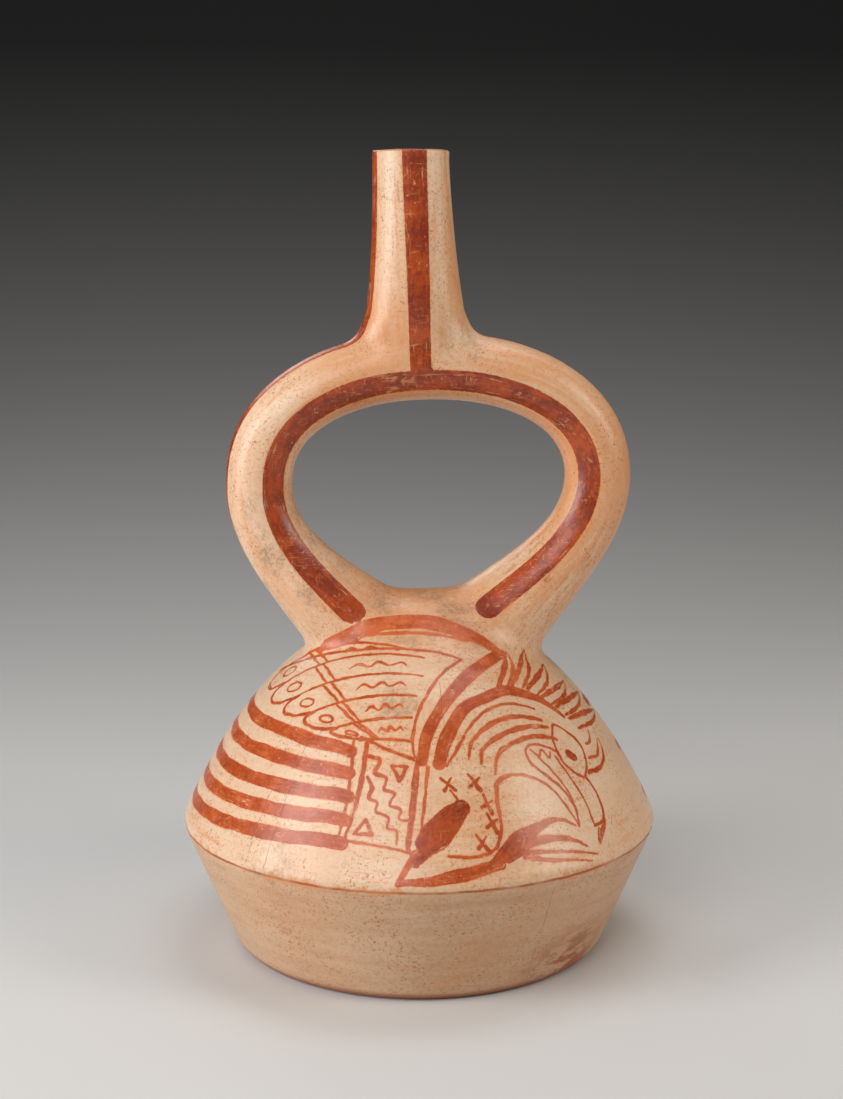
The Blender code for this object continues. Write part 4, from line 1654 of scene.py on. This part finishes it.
    def red_slip(self, tone: Socket) -> tuple[Socket, ...]:
        """Lays red slip with a ragged edge, thicker and thinner along the brush, chipped and rubbed.

        Args:
            tone: the colour under it.

        Returns:
            The colour, how fully the slip covers, and how far it has come off.
        """
        look, desk, place, zone = self.look, self.desk, self.place, self.zone
        ragged = desk.jitter(place, Waves.RAGGED, 0.0005)
        fine = desk.jitter(place, Waves.FRAYED, 0.00024)
        inner = desk.plus(desk.plus(self.edge, ragged), fine)
        along = {0: desk.times(self.run, 0.13), 1: self.edge, 2: desk.times(zone, 0.004)}
        brush_place = desk.put("ShaderNodeCombineXYZ", along).outputs[0]
        hairs = desk.noise(brush_place, Waves.HAIRS)
        pools = desk.noise(place, Waves.POOLS)
        blots = desk.noise(place, Waves.BLOTS)
        thick = self.load
        for unevenness, reach in ((hairs, 0.55), (pools, 0.7), (blots, 0.45)):
            thick = desk.plus(thick, desk.spread(unevenness, -reach, reach))
        thick = desk.minus(thick, desk.times(desk.ramp(inner, 0.00045, 0.0), 0.18))
        red = desk.tint(look.thin_red, desk.ramp(thick, 0.15, 0.72), look.red)
        red = desk.tint(red, desk.ramp(thick, 0.66, 1.2), look.deep_red)
        fringe = desk.times(desk.ramp(inner, -0.00055, -0.00005), desk.ramp(zone, 0.35, 0.65))
        tone = desk.tint(tone, fringe, look.orange, 0.6)
        flake = desk.noise(place, Waves.FLAKES)
        chips = desk.times(desk.ramp(flake, 0.6, 0.65), desk.ramp(zone, 0.42, 0.58))
        rubbed = desk.ramp(desk.noise(brush_place, Waves.RUBS), 0.59, 0.68)
        rubbed = desk.times(rubbed, desk.ramp(zone, 0.66, 0.46))
        bare = desk.most(desk.times(chips, 0.85), desk.times(rubbed, 0.55))
        slip = desk.times(desk.ramp(inner, -0.00006, 0.00014), desk.minus(1.0, bare))
        return desk.tint(tone, slip, red), slip, bare

    def scratches(self) -> Socket:
        """The fine scratches that show the orange clay under both slips, most where hands have been."""
        desk, place = self.desk, self.place
        crossed = desk.noise(desk.stretched(place, (0.1, 0.6, 1.0)), Waves.SCRATCHES)
        slanted = desk.noise(desk.stretched(place, (1.0, 0.6, 0.12)), Waves.SCRATCHES)
        scratch = desk.most(desk.ramp(crossed, 0.62, 0.68), desk.ramp(slanted, 0.63, 0.69))
        handled = self.nearest(Spot.ARCH_TOP, Spot.SPOUT_FOOT, Spot.RIGHT_FOOT)
        handled = desk.most(handled, desk.ramp(desk.noise(place, Waves.HANDLING), 0.48, 0.66))
        return desk.times(scratch, handled)

    def marks(self) -> Socket:
        """The dirt specks, pits and hairline cracks over everything."""
        desk = self.desk
        specks = desk.ramp(desk.noise(self.place, Waves.SPECKS), 0.66, 0.74)
        specks = desk.times(specks, desk.spread(desk.ramp(self.zone, 0.6, 0.42), 0.06, 0.7))
        return desk.most(desk.times(specks, 0.6), desk.times(self.cracked(), 0.6))

    def material(self) -> Material:
        """Lays the layers over each other and closes the material."""
        look, desk = self.look, self.desk
        low_dirt, grime, marks = self.low_dirt(), self.grime(), self.marks()
        tone = desk.tint(self.cream_slip(), low_dirt, look.tan)
        tone = desk.tint(tone, grime, look.grey)
        tone = desk.tint(tone, self.scuffs(), look.rust, 0.55)
        colour, slip, bare = self.red_slip(self.worn_edges(tone))
        colour = desk.tint(colour, self.scratches(), look.orange, 0.6)
        colour = desk.tint(colour, marks, look.soot)
        rough = desk.spread(desk.noise(self.place, Waves.SHEEN), 0.22, 0.44)
        rough = desk.minus(rough, desk.times(slip, 0.05))
        rough = desk.plus(desk.plus(rough, desk.times(low_dirt, 0.25)), desk.times(grime, 0.3))
        rough = desk.plus(rough, desk.times(marks, 0.25), clamp=True)
        lift = desk.plus(desk.times(desk.noise(self.place, Waves.TOOTH), 0.3), self.mottle)
        lift = desk.plus(lift, desk.times(self.streak, self.calm, 1.2))
        lift = desk.minus(desk.minus(lift, desk.times(marks, 0.9)), desk.times(bare, slip, 0.4))
        relief = {"Strength": look.relief_strength, "Distance": look.relief, "Height": lift}
        normal = desk.put("ShaderNodeBump", relief).outputs["Normal"]
        inputs = {"Base Color": colour, "Roughness": rough, "Normal": normal}
        shader = desk.put("ShaderNodeBsdfPrincipled", {**inputs, "Specular IOR Level": look.sheen})
        desk.put("ShaderNodeOutputMaterial", {"Surface": shader.outputs[0]})
        return self.clay


@dataclass
class Vessel:
    """The whole fired piece: skin, hollow and lip as one closed shell, with its painting and its finish."""

    body: Body = field(default_factory=Body)
    grains: Grains = field(default_factory=Grains)
    past_rim: float = 0.004
    channel_gap: float = 0.002
    skin_reach: float = 0.0004
    lip_gap: float = 0.0002
    ridge_margin: float = 0.12

    def __post_init__(self) -> None:
        """Sets the stirrup, the saddle and the spout over the body."""
        self.stirrup = Stirrup(self.body.crown)
        self.saddle = Saddle(self.body.crown)
        self.spout = Spout(self.stirrup.top, self.stirrup.radius)
        self.form = Form(self.body, self.stirrup, self.saddle, self.spout)
        self.lip = Lip(self.spout.rim, lambda z: float(self.spout.centre(z - self.spout.foot)))

    def skin(self, coils: Coils) -> Faces:
        """The outside, up to just under the lip."""
        parts = [self.body.coil(0), self.stirrup.coil(0), self.saddle.coil()]
        parts.append(self.spout.coil(0, self.past_rim))
        whole = coils.fuse("skin", parts, self.grains.skin)
        whole.points = self.form.settle(whole.points, 3)
        return whole.below(self.lip.rim - self.lip.outer_start)

    def core(self, coils: Coils) -> Faces:
        """The hollow, up to the foot of the lip's channel, with its faces turned to the air."""
        parts = [
            self.body.coil(self.body.wall),
            self.stirrup.coil(self.stirrup.wall),
            self.spout.coil(self.spout.wall, 0.0),
        ]
        whole = coils.fuse("core", parts, self.grains.core)
        cut = whole.below(self.lip.rim - self.lip.inner_end - self.channel_gap)
        cut.faces = [face[::-1] for face in cut.faces]
        return cut

    def shell(self, skin: Faces, core: Faces) -> Faces:
        """Joins skin, lip and hollow into one closed shell."""
        rings = self.lip.rings()
        count, sides = rings.shape[:2]
        first_core = len(skin.points)
        first_lip = first_core + len(core.points)
        points = np.vstack([skin.points, core.points, rings.reshape(-1, 3)])
        faces = skin.faces + [[i + first_core for i in face] for face in core.faces]
        for row in range(count - 1):
            for k in range(sides):
                a, b = first_lip + row * sides + k, first_lip + row * sides + (k + 1) % sides
                faces.append([a, b, b + sides, a + sides])
        top = [first_lip + k for k in range(sides)]
        low = [first_lip + (count - 1) * sides + k for k in range(sides)]
        faces += zip_loops(points, skin.open_edge(), top)
        faces += zip_loops(points, low, [i + first_core for i in core.open_edge()])
        return Faces(points, faces)

    def strokes(self) -> list[Stroke]:
        """Every stroke of slip on the vessel."""
        strokes = Bands(self.stirrup, self.spout).paint()
        for face in Face:
            chart = DomeChart(self.body, face.value)
            strokes += Picture(chart, plain=face is Face.BACK).paint()
        return strokes

    def painted(self, shell: Faces, clay: Material) -> Mesh:
        """Lays the slip on the shell, with finer faces along the edges and the middles of the strokes."""
        painter = SlipPainter(self.form, clay, self.strokes())
        LOG.info("slip: %d strokes", len(painter.strokes))
        mesh = painter.measure(shell.to_mesh("bare"))
        for least, reach in (self.grains.outline, self.grains.line):
            edge, outside = floats_of(mesh, Attr.SLIP_EDGE), self.outside(shell.points)

            def near(ends: Array, length: Array) -> Array:
                """Whether a slip edge passes by an edge of the mesh that is still long."""
                close = np.abs(edge[ends]).min(axis=1) < reach
                return (length > least) & close & outside[ends].all(axis=1)

            shell, mesh = self.settled(shell, shell.halved(near), mesh, painter)
        edges, which = shell.edges()
        share = self.ridge_cuts(shell, mesh, edges)
        shell, mesh = self.settled(shell, shell.cut(edges, which, share), mesh, painter)
        painter.close()
        mesh.attributes.remove(mesh.attributes[Attr.SLIP_SPOT.value])
        return mesh

    def ridge_cuts(self, shell: Faces, mesh: Mesh, edges: Array) -> Array:
        """Finds where edges of the mesh cross the middle of a stroke, or the middle between two strokes.

        Args:
            shell: the shell.
            mesh: the same shell, measured.
            edges: the shell's edges.

        Returns:
            How far along each edge the crossing lies, or 0 where there is none.
        """
        spot = vectors_of(mesh, Attr.SLIP_SPOT)
        away = shell.points - spot
        (first, last), reach = edges.T, lengths(away)
        length = lengths(shell.points[first] - shell.points[last])
        apart = lengths(spot[first] - spot[last])
        outside = self.outside(shell.points)
        crossing = ((away[first] * away[last]).sum(axis=1) < 0) & outside[edges].all(axis=1)
        crossing &= np.maximum(reach[first], reach[last]) < self.grains.ridge_reach
        across = reach[first] / np.maximum(reach[first] + reach[last], 1e-9)
        between = 0.5 + 0.5 * (reach[last] - reach[first]) / np.maximum(length, 1e-9)
        share = np.where(apart < length, across, between)
        crossing &= np.abs(share - 0.5) < 0.5 - self.ridge_margin
        return np.where(crossing, share, 0.0)

    def settled(self, old: Faces, new: Faces, mesh: Mesh, painter: SlipPainter) -> tuple[Faces, Mesh]:
        """Settles a finer shell's new points on the form, and measures the slip over it again."""
        first = len(old.points)
        new.points[first:] = self.form.settle(new.points[first:], 2)
        bpy.data.meshes.remove(mesh)
        LOG.info("finer: %d faces", len(new.faces))
        return new, painter.measure(new.to_mesh("bare"))

    def outside(self, p: Array) -> Array:
        """Whether a point lies on the outer skin, under the lip."""
        close = np.abs(self.form.distance(p)) < self.skin_reach
        return close & (p[:, 2] < self.lip.rim - self.lip.outer_start - self.lip_gap)

    def build(self) -> Object:
        """Makes the whole piece, dresses it, and lets it stand for the solid."""
        clay = BurnishedClay(ClayLook(self.body.keel_height)).material()
        coils = Coils(clay)
        shell = self.shell(self.skin(coils), self.core(coils)).closed_triangles()
        mesh = self.painted(shell, clay)
        mesh.name = "stirrup_vessel"
        hand = Hand(self.form)
        places = points_of(mesh)
        store(mesh, Attr.GRAIN, hand.grain(places))
        store(mesh, Attr.CALM, hand.calm(places))
        mesh.shade_smooth()
        piece = object_of(mesh, "stirrup_vessel")
        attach(piece, "root")
        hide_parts(NODE)
        return piece


@dataclass(frozen=True)
class Lamp:
    """One soft light: its name, its place, its size, its power, its colour and how wide it spreads."""

    name: str
    place: Triple
    size: Point
    watts: float
    colour: Triple = (1.0, 1.0, 1.0)
    spread: float = pi


@dataclass(frozen=True)
class Studio:
    """The camera at the photograph's angle, the pale floor and the soft lights."""

    distance: float = 0.6375
    turn: float = radians(6.0)
    sideways: float = 0.000875
    height: float = 0.2564
    pitch: float = 0.1781
    lens: float = 59.63
    sensor: float = 36.0
    floor_half: float = 3.2
    sweep_start: float = 0.4
    sweep_radius: float = 2.4
    sweep_steps: int = 40
    wall_height: float = 3.4
    paper: Colour = (0.6, 0.595, 0.585, 1)
    shade: Colour = (0.045, 0.045, 0.045, 1)
    shade_at: float = 1.85
    room: Colour = (0.93, 0.94, 0.96, 1)
    room_strength: float = 0.055
    aim: Triple = (0.0, 0.0, 0.14)
    lamps: tuple[Lamp, ...] = (
        Lamp("key", (-0.88, -0.3, 0.41), (0.46, 0.76), 8.0),
        Lamp("front", (-0.52, -1.02, 0.85), (0.8, 0.6), 6.6),
        Lamp("fill", (0.9, -0.48, 0.6), (0.4, 0.6), 5.3, (1.0, 0.9, 0.79)),
        Lamp("top", (0.16, 0.16, 1.15), (0.8, 0.6), 4.6),
        Lamp("back", (-0.45, 1.25, 0.8), (0.6, 0.5), 0.36, spread=radians(70.0)),
    )

    def camera(self) -> None:
        """Sets up the camera."""
        data = bpy.data.cameras.new("camera")
        data.sensor_width = self.sensor
        data.lens = self.lens
        data.clip_start = 0.01
        camera = object_of(data, "camera")
        away = np.array([-sin(self.turn), -cos(self.turn), 0.0])
        side = np.array([cos(self.turn), -sin(self.turn), 0.0])
        camera.location = away * self.distance + side * self.sideways + np.array([0.0, 0.0, self.height])
        camera.rotation_euler = (pi / 2 - self.pitch, 0.0, -self.turn)
        bpy.context.scene.camera = camera

    def floor(self) -> None:
        """Lays a plain pale floor that sweeps up into a backdrop behind the vessel, darkening towards the
        back as painted shade.
        """
        section = [(-self.floor_half, 0.0), (self.sweep_start, 0.0)]
        for i in range(1, self.sweep_steps + 1):
            angle = 0.5 * pi * i / self.sweep_steps
            rise = self.sweep_radius * (1.0 - cos(angle))
            section.append((self.sweep_start + self.sweep_radius * sin(angle), rise))
        section.append((section[-1][0], self.wall_height))
        count = len(section)
        points = [(x, y, z) for x in (-self.floor_half, self.floor_half) for y, z in section]
        faces = [(i, count + i, count + i + 1, i + 1) for i in range(count - 1)]
        mesh = bpy.data.meshes.new("floor")
        mesh.from_pydata(points, [], faces)
        mesh.shade_smooth()
        paper = bpy.data.materials.new("pale_floor")
        paper.use_nodes = True
        desk = NodeDesk(paper.node_tree)
        back = desk.put("ShaderNodeSeparateXYZ", {0: desk.put("ShaderNodeTexCoord").outputs["Object"]})
        # Painted shade: the paper darkens towards the back, standing in for the light falling off on the
        # backdrop.
        painted_shade_range = {"Value": back.outputs["Y"], "From Min": 0.0, "From Max": self.shade_at}
        share = desk.put("ShaderNodeMapRange", painted_shade_range).outputs["Result"]
        shader = paper.node_tree.nodes["Principled BSDF"]
        paper.node_tree.links.new(desk.mix(share, self.paper, self.shade), shader.inputs["Base Color"])
        shader.inputs["Roughness"].default_value = 0.9
        mesh.materials.append(paper)
        floor = object_of(mesh, "floor")

    def light(self, lamp: Lamp) -> None:
        """Hangs one soft light, turned towards the vessel."""
        data = bpy.data.lights.new(lamp.name, "AREA")
        data.shape = "RECTANGLE"
        data.size, data.size_y = lamp.size
        data.energy = lamp.watts
        data.color = lamp.colour
        data.spread = lamp.spread
        hung = object_of(data, lamp.name)
        hung.location = lamp.place
        x, y, z = np.array(self.aim, float) - np.array(lamp.place, float)
        hung.rotation_euler = (atan2(hypot(x, y), -z), 0.0, atan2(-x, y))

    def build(self) -> None:
        """Sets up the camera, the floor, the lights and the pale surroundings."""
        self.camera()
        self.floor()
        for lamp in self.lamps:
            self.light(lamp)
        world = bpy.data.worlds.new("pale_room")
        world.use_nodes = True
        backdrop = world.node_tree.nodes["Background"]
        backdrop.inputs["Color"].default_value = self.room
        backdrop.inputs["Strength"].default_value = self.room_strength
        bpy.context.scene.world = world
        bpy.context.scene.view_settings.view_transform = "Standard"


def main() -> None:
    """Builds the vessel and its stage."""
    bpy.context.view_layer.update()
    piece = Vessel().build()
    LOG.info("%s: %d triangles", piece.name, len(piece.data.polygons))
    Studio().build()


if __name__ == "__main__":
    logging.basicConfig(level=logging.INFO, format="%(name)s: %(message)s")
    main()
